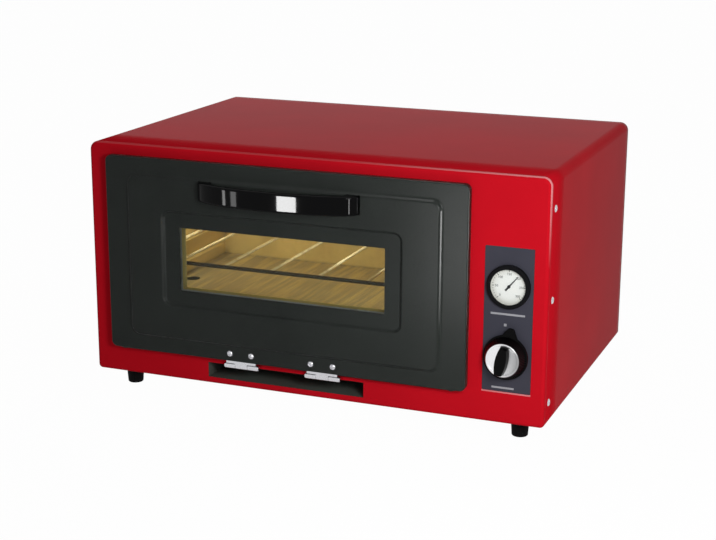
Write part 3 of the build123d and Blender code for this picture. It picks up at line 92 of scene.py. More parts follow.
class OvenPaints(bpy.types.PropertyGroup):
    """Colours of the oven's finishes"""
    casing: paint("Casing", "Enamel of the casing and the fascia", display(200, 20, 34))
    door: paint("Door", "Enamel of the door's outer panel", display(33, 36, 34))
    panel: paint("Control plate", "Enamel of the plate behind the controls", display(66, 66, 76))
    plastic: paint("Plastic", "Handle and knob mouldings", display(7, 7, 8))
    liner: paint("Liner", "Heat-tinted steel of the oven's inside", display(214, 188, 124))
    silver: paint("Silver", "Face of the knob's cap", display(232, 232, 234))
    dial: paint("Dial", "Face of the thermometer", display(250, 249, 245))


class OvenSizes(bpy.types.PropertyGroup):
    """Sizes of the detail that the looks add"""
    press_round: length("Pressing radius", "Radius along the door's pressed edges", 0.0017)
    raised_step: length("Raised step", "Height of the door's raised field", 0.004)
    field_side: length("Field side inset", "Flat border at the sides of the door", 0.0285)
    field_end: length("Field end inset", "Flat border at the top and the bottom", 0.0185)
    window_width: length("Window width", "Clear width of the window", 0.250)
    window_height: length("Window height", "Clear height of the window", 0.074)
    window_centre: length("Window centre", "Height of the window's middle", 0.1705)
    grip_round: length("Handle edge radius", "Radius along the handle's long edges", 0.0028)
    screw_recess: length("Screw recess", "Depth of the cross in each screw head", 0.0009)
    hinge_spacing: length("Hinge spacing", "Distance between the two hinges", 0.1006)
    hinge_screw_spread: length("Hinge screw spread", "From a hinge's middle to a screw", 0.0134)
    thread_pitch: length("Thread pitch", "Pitch of the gas inlet's thread", 0.00134)
    tick_length: length("Tick length", "Length of the dial's long ticks", 0.0024)


# Shader writing

class Signal:
    """A socket whose value changes over a surface. Expressions on it add their Math nodes."""

    def __init__(self, nodes, socket):
        self.nodes = nodes
        self.socket = socket

    def maths(self, operation, *others):
        """A Math node that takes this signal first."""
        return self.nodes.maths(operation, self, *others)

    def __add__(self, other):
        return self.maths("ADD", other)

    __radd__ = __add__

    def __sub__(self, other):
        return self.maths("SUBTRACT", other)

    def __rsub__(self, other):
        return self.nodes.maths("SUBTRACT", other, self)

    def __mul__(self, other):
        return self.maths("MULTIPLY", other)

    __rmul__ = __mul__

    def __pow__(self, other):
        return self.maths("POWER", other)

    def __lt__(self, other):
        return self.maths("LESS_THAN", other)

    def __gt__(self, other):
        return self.maths("GREATER_THAN", other)

    def __abs__(self):
        return self.maths("ABSOLUTE")


class Nodes:
    """A node tree that is written with one call for each node."""

    def __init__(self, tree):
        self.tree = tree

    def node(self, kind, settings=None, inputs=None, output=0):
        made = self.tree.nodes.new(kind)
        for name, value in (settings or {}).items():
            setattr(made, name, value)
        for name, value in (inputs or {}).items():
            if isinstance(value, Signal):
                self.tree.links.new(value.socket, made.inputs[name])
            else:
                made.inputs[name].default_value = value
        return Signal(self, made.outputs[output])

    def maths(self, operation, *values):
        return self.node("ShaderNodeMath", {"operation": operation}, dict(enumerate(values)))

    def seen_directly(self):
        """1 for camera, glossy and transmission rays, and 0 for the rays that carry light."""
        camera, glossy, transmission = (self.node("ShaderNodeLightPath", output=f"Is {kind} Ray")
                                        for kind in ("Camera", "Glossy", "Transmission"))
        return camera.maths("MAXIMUM", glossy).maths("MAXIMUM", transmission)


class Finish(Nodes):
    """A material with one Principled shader, its fixed numbers and the patterns that feed it."""

    def __init__(self, name, colour, **fixed):
        self.material = bpy.data.materials.new(name)
        self.material.use_nodes = True
        super().__init__(self.material.node_tree)
        self.shader = self.tree.nodes["Principled BSDF"]
        self.colour = (*colour[:3], 1.0)
        self.relief = None
        self.shader.inputs["Base Color"].default_value = self.colour
        for socket, value in fixed.items():
            self.shader.inputs[socket.replace("_", " ")].default_value = value
        self.place = self.node("ShaderNodeTexCoord", output="Object")

    def noise(self, cells, detail=2.0, roughness=0.5, stretch=None):
        """Soft random values from 0 to 1, with that many cells to the metre."""
        place = self.place
        if stretch:
            place = self.node("ShaderNodeMapping", {}, {"Vector": place, "Scale": stretch})
        return self.node("ShaderNodeTexNoise", {}, {"Vector": place, "Scale": cells,
                                                    "Detail": detail, "Roughness": roughness})

    def along(self, axis):
        """The place of each point along one axis, in metres."""
        return self.node("ShaderNodeSeparateXYZ", {}, {"Vector": self.place}, "XYZ".index(axis))

    def around(self, centre):
        """How far each point lies to the right of a line to the rear, above it, and from it."""
        across = self.along("X") - centre.x
        up = self.along("Z") - centre.z
        return across, up, (across * across + up * up)**0.5

    def limited(self, signal, low, high):
        """The signal's range from low to high, opened out to 0 to 1."""
        return self.node("ShaderNodeMapRange", {}, {"Value": signal, "From Min": low,
                                                    "From Max": high})

    def tint(self, factor, first, second):
        """The first colour where the factor is 0, and the second where it is 1."""
        return self.node("ShaderNodeMix", {"data_type": "RGBA"},
                         {0: factor, 6: first, 7: second}, 2)

    def shade(self, amount):
        """The base colour made lighter or darker by an amount."""
        return (*[min(1.0, level * amount) for level in self.colour[:3]], 1.0)

    def shades(self, factor, first, second):
        """The base colour, shaded by the first amount, then the second as the factor grows."""
        return self.tint(factor, self.shade(first), self.shade(second))

    def feed(self, socket, signal):
        self.tree.links.new(signal.socket, self.shader.inputs[socket])

    def emboss(self, height, distance, strength=1.0):
        """A bump on top of those made before."""
        inputs = {"Height": height, "Distance": distance, "Strength": strength}
        if self.relief:
            inputs["Normal"] = self.relief
        self.relief = self.node("ShaderNodeBump", {}, inputs)
        self.feed("Normal", self.relief)

    def show_mix(self, factor, first, second):
        """Shows the first shader where the factor is 0, and the second where it is 1."""
        mixed = self.node("ShaderNodeMixShader", {}, {0: factor, 1: first, 2: second})
        self.tree.links.new(mixed.socket, self.tree.nodes["Material Output"].inputs["Surface"])


# Finishes

def paints():
    return bpy.context.scene.oven_paints


def casing_enamel():
    """Stoved red enamel with a faint ripple and a painted highlight along the pressed edges."""
    corner = 0.010
    rim_width = 0.0013
    rim_low, rim_high = 0.2, 0.28
    lip_height = 0.0576
    lip_half_height = 0.0009
    lip_half_width = 0.0275
    fascia_reach = 0.002
    front_roll = 0.045
    rear_turn = 0.010
    roll_relief = 0.015
    highlight_pink = (0.90, 0.42, 0.44, 1.0)
    red = Finish("casing_enamel", paints().casing, Specular_IOR_Level=0.002)
    cloud = red.noise(9.0, 3.0)
    ripple = red.noise(420.0, 2.0)
    body = red.shades(red.limited(cloud, 0.3, 0.7), 0.94, 1.05)
    low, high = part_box("outer_casing")
    across, forward, up = (red.along(axis) for axis in "XYZ")
    # Painted highlight: pale pink on the fascia's top and upper side edges and its cut-out's lower lip, brighter
    # to the right
    beyond = (abs(across) - (high.x - corner)).maths("MAXIMUM", 0.0)
    above = (up - (high.z - corner)).maths("MAXIMUM", 0.0)
    rim = (beyond * beyond + above * above)**0.5 > corner - rim_width
    rim = rim * red.limited(up, rim_low, rim_high)
    lip = ((abs(up - lip_height) < lip_half_height)
           * (abs(across - KNOB_CENTRE.x) < lip_half_width))
    painted_highlight = (rim + lip).maths("MINIMUM", 1.0) * (forward < low.y - fascia_reach)
    painted_highlight = painted_highlight * (0.10 + 0.50 * red.limited(across, 0.05, high.x))
    red.feed("Base Color", red.tint(painted_highlight, body, highlight_pink))
    red.feed("Roughness", 0.14 + 0.06 * cloud + 0.03 * ripple)
    red.emboss(ripple, 0.00006, 0.5)
    roll = red.limited(forward, low.y + front_roll, low.y)
    turned_in = red.limited(forward, high.y - rear_turn, high.y)
    red.emboss(1.0 - roll * roll * 0.75 - turned_in * turned_in * 0.2, roll_relief)
    return red


def door_enamel():
    """Charcoal enamel with a fine satin grain."""
    charcoal = Finish("door_enamel", paints().door, Specular_IOR_Level=0.07)
    cloud = charcoal.noise(7.0, 3.0)
    grain = charcoal.noise(1500.0, 2.0)
    charcoal.feed("Base Color", charcoal.shades(charcoal.limited(cloud, 0.3, 0.7), 0.88, 1.12))
    charcoal.feed("Roughness", 0.22 + 0.06 * cloud + 0.05 * grain)
    charcoal.emboss(grain, 0.00003, 0.5)
    return charcoal


def panel_enamel():
    """Slate enamel of the control plate, a little rougher than the door."""
    slate = Finish("panel_enamel", paints().panel, Specular_IOR_Level=0.05)
    grain = slate.noise(1800.0, 2.0)
    slate.feed("Base Color", slate.shades(slate.noise(24.0, 3.0), 0.88, 1.10))
    slate.feed("Roughness", 0.44 + 0.12 * grain)
    slate.emboss(grain, 0.00003, 0.6)
    return slate


def gloss_black():
    """Polished black moulding with a trace of sink waves."""
    black = Finish("gloss_black", paints().plastic, Specular_IOR_Level=0.05)
    wave = black.noise(40.0, 1.0)
    scuff = black.noise(900.0, 3.0, 0.6, (1.0, 1.0, 6.0))
    black.feed("Roughness", 0.03 + 0.03 * wave + 0.05 * black.limited(scuff, 0.62, 0.8))
    black.emboss(wave, 0.00002, 0.3)
    return black


def bezel_black():
    """Semi-gloss black lacquer on turned metal."""
    black = Finish("bezel_black", display(14, 14, 16), Specular_IOR_Level=0.06)
    grain = black.noise(1400.0, 2.0)
    black.feed("Base Color", black.shades(grain, 0.8, 1.3))
    black.feed("Roughness", 0.24 + 0.10 * grain)
    black.emboss(grain, 0.00002, 0.5)
    return black


def liner_steel():
    """Aluminised steel with rolling streaks and a straw heat tint, darker and greyer on the floor."""
    floor_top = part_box("floor_plate")[1].z
    dull_from, dull_to = floor_top + 0.003, floor_top + 0.0005
    dull_straw = (0.20, 0.175, 0.12, 1.0)
    straw = Finish("liner_steel", paints().liner, Metallic=0.35, Specular_IOR_Level=0.5)
    streak = straw.noise(160.0, 3.0, 0.6, (1.0, 0.06, 1.0))
    bloom = straw.noise(14.0, 4.0, 0.6)
    warm = straw.shades(straw.limited(bloom, 0.35, 0.7), 1.06, 0.80)
    # Darker and greyer at and below the top of the floor plate
    floor_darkening = straw.limited(straw.along("Z"), dull_from, dull_to)
    warm = straw.tint(0.75 * floor_darkening, warm, dull_straw)
    straw.feed("Base Color", straw.tint(straw.limited(streak, 0.45, 0.75), warm,
                                        straw.shade(0.86)))
    straw.feed("Roughness", 0.34 + 0.16 * bloom + 0.10 * streak)
    straw.emboss(streak, 0.00004, 0.5)
    return straw


def galvanised_steel():
    """Zinc-coated sheet with its spangle."""
    grains_per_metre = 75.0
    sheet = Finish("galvanised_steel", display(168, 171, 174), Metallic=0.85)
    spangle = sheet.node("ShaderNodeTexVoronoi", {}, {"Vector": sheet.place,
                                                      "Scale": grains_per_metre}, "Color")
    facet = sheet.node("ShaderNodeSeparateColor", {}, {"Color": spangle})
    dust = sheet.noise(500.0, 3.0)
    sheet.feed("Base Color", sheet.shades(facet, 0.80, 1.12))
    sheet.feed("Roughness", 0.34 + 0.16 * facet + 0.08 * dust)
    sheet.emboss(dust, 0.00002, 0.4)
    return sheet


def channel_black():
    """Dark phosphate coat of the channel behind the slot."""
    coat = Finish("channel_black", display(84, 90, 84), Specular_IOR_Level=0.02)
    grain = coat.noise(900.0, 3.0)
    coat.feed("Base Color", coat.shades(grain, 0.6, 1.3))
    coat.feed("Roughness", 0.5 + 0.2 * grain)
    return coat


def zinc_bright():
    """Bright plated steel of the hinges, pins and screws."""
    zinc = Finish("zinc_bright", display(206, 206, 210), Metallic=1.0)
    wear = zinc.noise(700.0, 3.0, 0.6)
    zinc.feed("Base Color", zinc.shades(zinc.limited(wear, 0.4, 0.75), 1.0, 0.78))
    zinc.feed("Roughness", 0.16 + 0.20 * wear)
    zinc.emboss(wear, 0.00002, 0.4)
    return zinc


def shelf_chrome():
    """Plated wire, a little dulled by the oven's heat, with a painted shade on its front rail."""
    rail_behind, rail_front = -0.1435, -0.1450
    straw = (0.55, 0.42, 0.26, 1.0)
    rail_shade = (0.045, 0.032, 0.022, 1.0)
    chrome = Finish("shelf_chrome", display(246, 238, 214), Specular_IOR_Level=0.2)
    heat = chrome.noise(60.0, 3.0, 0.6)
    wire = chrome.tint(chrome.limited(heat, 0.45, 0.75), chrome.shade(1.0), straw)
    # Painted shade: the front rail turns dark brown, less metallic and rougher
    rail = chrome.limited(chrome.along("Y"), rail_behind, rail_front)
    chrome.feed("Base Color", chrome.tint(rail, wire, rail_shade))
    chrome.feed("Metallic", 0.25 - 0.25 * rail)
    chrome.feed("Roughness", 0.12 + 0.20 * heat + 0.5 * rail)
    return chrome


def machined(name, colour, smoothest):
    """Turned or drawn metal with fine tool marks."""
    metal = Finish(name, colour, Metallic=1.0)
    marks = metal.noise(900.0, 2.0, 0.6)
    film = metal.noise(90.0, 3.0)
    metal.feed("Base Color", metal.shades(metal.limited(film, 0.35, 0.7), 1.05, 0.82))
    metal.feed("Roughness", smoothest + 0.12 * marks + 0.10 * film)
    metal.emboss(marks, 0.00002, 0.5)
    return metal


def cast_aluminium():
    """Die-cast body with a sandy skin."""
    cast = Finish("cast_aluminium", display(172, 174, 178), Metallic=0.9)
    sand = cast.noise(2200.0, 3.0, 0.6)
    cast.feed("Base Color", cast.shades(sand, 0.78, 1.1))
    cast.feed("Roughness", 0.42 + 0.16 * sand)
    cast.emboss(sand, 0.00008, 0.6)
    return cast


def mineral_wool():
    """Pressed fibre board: long pale fibres matted both ways."""
    wool = Finish("mineral_wool", display(206, 194, 150), Roughness=0.95,
                  Specular_IOR_Level=0.1)
    fibres = wool.noise(900.0, 4.0, 0.7, (0.12, 1.0, 1.0)).maths(
        "MAXIMUM", wool.noise(950.0, 4.0, 0.7, (1.0, 0.12, 1.0)))
    wool.feed("Base Color", wool.shades(wool.limited(fibres, 0.4, 0.75), 0.62, 1.12))
    wool.emboss(fibres, 0.0008, 0.8)
    return wool


def electrode_ceramic():
    """Glazed white ceramic with faint specks."""
    glaze = Finish("electrode_ceramic", display(236, 233, 226), Roughness=0.18)
    specks = glaze.limited(glaze.noise(1500.0, 1.0), 0.68, 0.74)
    glaze.feed("Base Color", glaze.shades(specks, 1.0, 0.6))
    return glaze


def matt_skin(name, level, bump):
    """Grey or black moulded rubber or plastic with a fine matt skin."""
    skin = Finish(name, display(level, level, level), Specular_IOR_Level=0.05)
    grain = skin.noise(1600.0, 3.0, 0.6)
    skin.feed("Base Color", skin.shades(grain, 0.7, 1.5))
    skin.feed("Roughness", 0.62 + 0.18 * grain)
    skin.emboss(grain, bump, 0.7)
    return skin


def knob_silver():
    """Turned satin metal with fine rings and painted sheen, lacquered black and fluted down its side."""
    face_radius = 0.0183
    side_radius = 0.0186
    ring_rate = 14000.0
    flutes_per_turn = 72.0
    sheen_left, sheen_right = -0.006, 0.017
    black = (0.006, 0.006, 0.007, 1.0)
    metal = Finish("knob_silver", paints().silver, Metallic=1.0)
    across, up, radius = metal.around(KNOB_CENTRE)
    rings = (radius * ring_rate).maths("SINE")
    turn = up.maths("ARCTAN2", across)
    flutes = (turn * flutes_per_turn).maths("SINE") * (radius > side_radius)
    metal.emboss(flutes, 0.00022, 0.9)
    fleck = metal.noise(1200.0, 2.0)
    metal.feed("Roughness", 0.24 + 0.05 * rings + 0.10 * fleck)
    # Painted sheen: the face is light on the left and dark towards the right
    painted_sheen = metal.limited(across, sheen_left, sheen_right)
    face = metal.shades(0.12 * fleck + 0.80 * painted_sheen, 1.08, 0.32)
    side = metal.limited(radius, face_radius, side_radius)
    metal.feed("Base Color", metal.tint(side, face, black))
    metal.emboss(rings, 0.00001, 0.5)
    return metal


def dial_white():
    """Printed white face with painted bezel shade, darker and warmer towards its rim."""
    bezel_shade_from, bezel_shade_to = 0.013, 0.021
    shaded_ivory = (0.66, 0.62, 0.52, 1.0)
    face = Finish("dial_white", paints().dial, Roughness=0.5, Specular_IOR_Level=0.3)
    radius = face.around(DIAL_CENTRE)[2]
    grain = face.noise(3000.0, 2.0)
    # Painted shade of the bezel: darker and warmer towards the rim
    bezel_shade = face.limited(radius, bezel_shade_from, bezel_shade_to)
    face.feed("Base Color", face.tint(0.55 * bezel_shade + 0.10 * grain, face.shade(1.0), shaded_ivory))
    return face


def print_black():
    """Black print and the needle's lacquer."""
    ink = Finish("print_black", display(22, 22, 24), Specular_IOR_Level=0.3)
    ink.feed("Roughness", 0.42 + 0.12 * ink.noise(1600.0, 2.0))
    return ink


def print_grey():
    """Pale grey print on the control plate."""
    ink = Finish("print_grey", display(168, 168, 174), Specular_IOR_Level=0.1)
    grain = ink.noise(2400.0, 3.0)
    ink.feed("Base Color", ink.shades(grain, 0.82, 1.0))
    ink.feed("Roughness", 0.5 + 0.1 * grain)
    return ink


def clear_pane(name, tint):
    """Glass that lets lamps through: clear where it is faced, a mirror where it is grazed."""
    reflection = 0.12
    pane = Finish(name, tint)
    pane.tree.nodes.remove(pane.shader)
    smear = pane.noise(45.0, 3.0)
    fresnel = pane.node("ShaderNodeFresnel", {}, {"IOR": 1.5})
    clear = pane.node("ShaderNodeBsdfTransparent", {}, {"Color": (*tint, 1.0)})
    shine = pane.node("ShaderNodeBsdfGlossy", {}, {"Color": (1.0, 1.0, 1.0, 1.0),
                                                   "Roughness": 0.04})
    pane.show_mix(fresnel * reflection * (0.8 + 0.4 * smear), clear, shine)
    return pane


FINISHES = {
    "casing_paint": casing_enamel,
    "door_paint": door_enamel,
    "panel_paint": panel_enamel,
    "plate_print": print_grey,
    "black_handle": gloss_black,
    "bezel_black": bezel_black,
    "knob_silver": knob_silver,
    "dial_white": dial_white,
    "needle_black": print_black,
    "window_glass": partial(clear_pane, "window_glass", (0.95, 0.97, 0.94)),
    "lens_glass": partial(clear_pane, "lens_glass", (0.98, 0.99, 0.99)),
    "liner_steel": liner_steel,
    "galvanised_steel": galvanised_steel,
    "channel_black": channel_black,
    "zinc_steel": zinc_bright,
    "shelf_chrome": shelf_chrome,
    "brass": partial(machined, "brass", display(214, 172, 96), 0.20),
    "gas_pipe": partial(machined, "gas_pipe", display(196, 198, 200), 0.26),
    "copper_capillary": partial(machined, "copper_capillary", display(200, 134, 96), 0.24),
    "burner_steel": partial(machined, "burner_steel", display(138, 130, 120), 0.30),
    "cast_aluminium": cast_aluminium,
    "mineral_wool": mineral_wool,
    "electrode_ceramic": electrode_ceramic,
    "foot_rubber": partial(matt_skin, "foot_rubber", 16, 0.00008),
    "seal_rubber": partial(matt_skin, "seal_rubber", 40, 0.00004),
    "magnet": partial(matt_skin, "magnet", 62, 0.00003),
}
made_finishes = {}


def material(slot):
    """The material for a slot or a look, made the first time it is asked for."""
    if slot not in made_finishes:
        made_finishes[slot] = FINISHES[slot]().material
    return made_finishes[slot]


# Modelling

def dress(*nodes, look=None):
    """Gives CAD pieces whose shape is right the finish of their slot, or another look."""
    for node in nodes:
        for slot in frame["nodes"][node].material_slots:
            slot.material = material(look or SLOT_OF[node])


def mesh_of(shape, name):
    """Turns the shape into a mesh and frees it."""
    mesh = bpy.data.meshes.new(name)
    shape.to_mesh(mesh)
    shape.free()
    return mesh


def linked(name, data):
    """A new object of the data, in the scene."""
    made = bpy.data.objects.new(name, data)
    bpy.context.scene.collection.objects.link(made)
    return made


def finish_piece(name, shape, slot, body=None, stands_for=(), look=None, wall=0.0):
    """Makes an object of the shape, smooth but for its sharp edges, and rides it on its body.
    A wall turns the shape, an outer skin, into a sheet of that thickness."""
    for face in shape.faces:
        face.smooth = True
    for edge in shape.edges:
        edge.smooth = edge.is_boundary or edge.calc_face_angle(0.0) < SMOOTH_ANGLE
    mesh = mesh_of(shape, name)
    mesh.materials.append(material(look or slot))
    piece = linked(name, mesh)
    if wall:
        sheet = piece.modifiers.new("Sheet", "SOLIDIFY")
        sheet.thickness = wall
        sheet.offset = -1.0
        sheet.use_even_offset = True
    flats = piece.modifiers.new("Flat faces", "WEIGHTED_NORMAL")
    flats.keep_sharp = True
    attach(piece, body or BODY_OF[stands_for[0]])
    if stands_for:
        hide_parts(*stands_for)


def round_off(shape, parts, radius, steps, affect="EDGES"):
    """Rounds the edges between faces, or the corners of a flat outline."""
    bmesh.ops.bevel(shape, geom=parts, offset=radius, offset_type="OFFSET", segments=steps,
                    profile=0.5, material=-1, affect=affect, clamp_overlap=True)


def sharp_edges(shape, angle, wanted=lambda edge: True):
    """The wanted edges whose faces meet at more than the angle, in degrees."""
    return [edge for edge in shape.edges if edge.is_manifold
            and edge.calc_face_angle(0.0) > radians(angle) and wanted(edge)]


def rounded_face(shape, x, y, z, width, height, radius):
    """A flat face towards the front with rounded corners."""
    others = set(shape.faces)
    corners = [shape.verts.new((x + right * width / 2, y, z + up * height / 2))
               for right, up in ((-1, -1), (1, -1), (1, 1), (-1, 1))]
    shape.faces.new(corners)
    if radius:
        round_off(shape, corners, radius, 6, "VERTICES")
    return next(face for face in shape.faces if face not in others)


def join_outlines(shape, outlines):
    """Skins a row of outline faces one to the next and keeps only the skin."""
    for first, second in zip(outlines, outlines[1:]):
        bmesh.ops.bridge_loops(shape, edges=list(first.edges) + list(second.edges))
    bmesh.ops.delete(shape, geom=outlines, context="FACES_ONLY")


def turned(shape, profile, centre, axis, steps):
    """Spins a profile of (radius, distance along the axis) about an axis through the centre."""
    side = axis.orthogonal().normalized()
    verts = [shape.verts.new(centre + side * radius + axis * along) for radius, along in profile]
    edges = [shape.edges.new(pair) for pair in zip(verts, verts[1:])]
    bmesh.ops.spin(shape, geom=verts + edges, cent=centre, axis=axis, dvec=(0, 0, 0),
                   angle=2 * pi, steps=steps, use_merge=True, use_duplicate=False)
    bmesh.ops.remove_doubles(shape, verts=shape.verts, dist=1e-6)
    bmesh.ops.recalc_face_normals(shape, faces=shape.faces)


def add_to(shape, source):
    """Adds the source's geometry to the shape and frees the source."""
    carrier = mesh_of(source, "carrier")
    shape.from_mesh(carrier)
    bpy.data.meshes.remove(carrier)


def screw_head(shape, seat, facing, radius, dome, recess, turn):
    """A domed head with a cross recess, worked in the faces of a grid."""
    cross_half_width = 0.13
    cross_reach = 0.6
    fullness = 0.62
    head = bmesh.new()
    bmesh.ops.create_grid(head, x_segments=24, y_segments=24, size=1.0)
    for vert in head.verts:
        across, up = vert.co.x, vert.co.y
        in_cross = (min(abs(across), abs(up)) < cross_half_width
                    and max(abs(across), abs(up)) < cross_reach)
        vert.co.x = across * (1 - up * up / 2)**0.5
        vert.co.y = up * (1 - across * across / 2)**0.5
        reach = vert.co.x**2 + vert.co.y**2
        crown = dome * max(0.0, 1 - reach)**fullness
        vert.co = Vector((vert.co.x * radius, vert.co.y * radius,
                          crown - (recess if in_cross else 0.0)))
    place = (Matrix.Translation(seat)
             @ Vector((0, 0, 1)).rotation_difference(facing).to_matrix().to_4x4()
             @ Matrix.Rotation(turn, 4, "Z"))
    bmesh.ops.transform(head, matrix=place, verts=head.verts)
    add_to(shape, head)


def softened(node, radius):
    """The node's own shape with its triangles joined and its sharp edges rounded."""
    shape = bmesh.new()
    source = frame["nodes"][node]
    shape.from_mesh(source.data)
    bmesh.ops.transform(shape, matrix=source.matrix_world, verts=shape.verts)
    bmesh.ops.remove_doubles(shape, verts=shape.verts, dist=1e-6)
    bmesh.ops.dissolve_limit(shape, angle_limit=radians(0.5), verts=shape.verts,
                             edges=shape.edges)
    round_off(shape, sharp_edges(shape, 50.0), radius, 2)
    return shape


def flat_bar(shape, x, y, z, width, height):
    """A printed bar lying on a face that looks to the front."""
    bar = rounded_face(shape, x, y, z, width, height, 0.0)
    bmesh.ops.translate(shape, verts=bar.verts, vec=FRONT * PRINT_LIFT)
    if bar.normal.y > 0:
        bmesh.ops.reverse_faces(shape, faces=[bar])
    return bar


def grown_verts(shape):
    """Doubles a flat outline and returns the corners of the copy, to be drawn away from it."""
    grown = bmesh.ops.extrude_face_region(shape, geom=shape.faces[:])
    return [item for item in grown["geom"] if isinstance(item, bmesh.types.BMVert)]


# Operators

class OvenOperator:
    """What the operators share: each finishes its CAD pieces and then adds its detail."""
    pieces = ()

    def execute(self, context):
        dress(*self.pieces)
        self.add_detail(context.scene.oven_sizes)
        return {"FINISHED"}

    def add_detail(self, sizes):
        """Nothing, where the CAD pieces have all the detail."""


class OVEN_OT_casing(OvenOperator, bpy.types.Operator):
    """Finishes the casing, rear panel and base, rounds the fascia's edges and adds the rear \
panel's screws"""
    bl_idname = "oven.casing"
    bl_label = "Casing"
    pieces = ("outer_casing", "rear_panel", "base_plate")

    def add_detail(self, sizes):
        finish_piece("fascia_pressing", softened("front_fascia", 0.0005), "casing_paint",
                     stands_for=("front_fascia",))
        low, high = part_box("rear_panel")
        inset = 0.007
        lowest, highest = low.z + 0.04, high.z - 0.03
        top_spacing = 0.14
        head_radius, head_dome = 0.0036, 0.0014
        spots = [(x, z) for x in (low.x + inset, high.x - inset)
                 for z in (lowest, (low.z + high.z) / 2, highest)]
        spots += [(x, high.z - inset) for x in (-top_spacing, 0.0, top_spacing)]
        screws = bmesh.new()
        for number, (x, z) in enumerate(spots):
            screw_head(screws, Vector((x, high.y, z)), REAR, head_radius, head_dome,
                       sizes.screw_recess, number * 0.7)
        finish_piece("rear_panel_screws", screws, "zinc_steel", "casing")


class OVEN_OT_feet(OvenOperator, bpy.types.Operator):
    """Finishes the four rubber feet"""
    bl_idname = "oven.feet"
    bl_label = "Feet"
    pieces = ("foot_front_left", "foot_rear_left", "foot_front_right", "foot_rear_right")


class OVEN_OT_door(OvenOperator, bpy.types.Operator):
    """Presses the door's outer panel, with its raised field and window recess, and finishes \
the inner panel, the retainer and the seal"""
    bl_idname = "oven.door"
    bl_label = "Door"
    pieces = ("door_inner_panel", "glass_retainer", "door_seal")

    def add_detail(self, sizes):
        low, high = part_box("door_outer_panel")
        middle = (low + high) / 2
        width = high.x - low.x
        height = high.z - low.z
        flange_y = low.y + sizes.raised_step
        glass_y = flange_y + 0.0008
        field_width = width - 2 * sizes.field_side
        field_height = height - 2 * sizes.field_end
        field_slope = 0.0056
        recess_width = sizes.window_width + 0.041
        recess_height = sizes.window_height + 0.038
        recess_slope = 0.003
        sections = (
            (high.y, middle.z, width, height, 0.007),
            (flange_y, middle.z, width, height, 0.007),
            (flange_y, middle.z, field_width, field_height, 0.012),
            (low.y, middle.z, field_width - field_slope, field_height - field_slope, 0.010),
            (low.y, sizes.window_centre, recess_width, recess_height, 0.010),
            (flange_y, sizes.window_centre, recess_width - recess_slope,
             recess_height - recess_slope, 0.0085),
            (flange_y, sizes.window_centre, sizes.window_width, sizes.window_height, 0.0012),
            (glass_y, sizes.window_centre, sizes.window_width, sizes.window_height, 0.0012),
        )
        shape = bmesh.new()
        outlines = [rounded_face(shape, middle.x, *section) for section in sections]
        pressed = [edge for outline in outlines[1:6] for edge in outline.edges]
        join_outlines(shape, outlines)
        round_off(shape, pressed, sizes.press_round, 4)
        bmesh.ops.recalc_face_normals(shape, faces=shape.faces)
        widest = max(shape.faces, key=lambda face: face.calc_area())
        if widest.normal.y > 0:
            bmesh.ops.reverse_faces(shape, faces=shape.faces)
        self.cut_hinge_notches(shape, low.z, flange_y, sizes.hinge_spacing)
        finish_piece("door_pressing", shape, "door_paint", stands_for=("door_outer_panel",),
                     wall=0.0009)

    def cut_hinge_notches(self, shape, fold_z, flange_y, spacing):
        """Opens the folded lower edge where each hinge knuckle passes it."""
        half_length = 0.0195
        notch_y = flange_y + 0.0022
        for centre in (HINGE_LINE.x - spacing / 2, HINGE_LINE.x + spacing / 2):
            for point, normal in (((centre - half_length, 0, 0), (1, 0, 0)),
                                  ((centre + half_length, 0, 0), (1, 0, 0)),
                                  ((0, notch_y, 0), (0, 1, 0))):
                fold = self.fold_faces(shape, fold_z)
                parts = set(fold)
                for face in fold:
                    parts.update(face.edges)
                    parts.update(face.verts)
                bmesh.ops.bisect_plane(shape, geom=list(parts), plane_co=point, plane_no=normal)
            notch = [face for face in self.fold_faces(shape, fold_z)
                     if face.calc_center_median().y > notch_y
                     and abs(face.calc_center_median().x - centre) < half_length]
            bmesh.ops.delete(shape, geom=notch, context="FACES")

    def fold_faces(self, shape, fold_z):
        """The downward faces along the panel's lower edge."""
        return [face for face in shape.faces
                if face.calc_center_median().z < fold_z + 0.0015 and face.normal.z < -0.9]


class OVEN_OT_glass(OvenOperator, bpy.types.Operator):
    """Finishes the two panes of the window"""
    bl_idname = "oven.glass"
    bl_label = "Window panes"
    pieces = ("door_glass_outer", "door_glass_inner")


class OVEN_OT_handle(OvenOperator, bpy.types.Operator):
    """Bends the bowed handle from a ring of two ellipses"""
    bl_idname = "oven.handle"
    bl_label = "Handle"
    pieces = ("handle_screws",)

    def add_detail(self, sizes):
        low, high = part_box("door_handle")
        centre = Vector(((low.x + high.x) / 2, high.y, low.z))
        reach = high.y - low.y
        half_span = (high.x - low.x) / 2
        pad_length = 0.016
        grip_thickness = 0.0085
        shape = bmesh.new()
        for across, forward in ((half_span, reach),
                                (half_span - pad_length, reach - grip_thickness)):
            ring = bmesh.ops.create_circle(shape, segments=112, radius=1.0)["verts"]
            bmesh.ops.scale(shape, vec=(across, forward, 1), verts=ring)
        bmesh.ops.bridge_loops(shape, edges=shape.edges)
        bmesh.ops.bisect_plane(shape, geom=shape.verts[:] + shape.edges[:] + shape.faces[:],
                               plane_co=(0, 0, 0), plane_no=(0, 1, 0), clear_outer=True)
        bmesh.ops.translate(shape, vec=(0, 0, high.z - low.z), verts=grown_verts(shape))
        bmesh.ops.recalc_face_normals(shape, faces=shape.faces)
        bmesh.ops.translate(shape, vec=centre, verts=shape.verts)
        long_edges = sharp_edges(shape, 50.0, lambda edge: any(
            vert.co.y < high.y - 1e-5 for vert in edge.verts))
        round_off(shape, long_edges, sizes.grip_round, 5)
        finish_piece("handle_grip", shape, "black_handle", stands_for=("door_handle",))


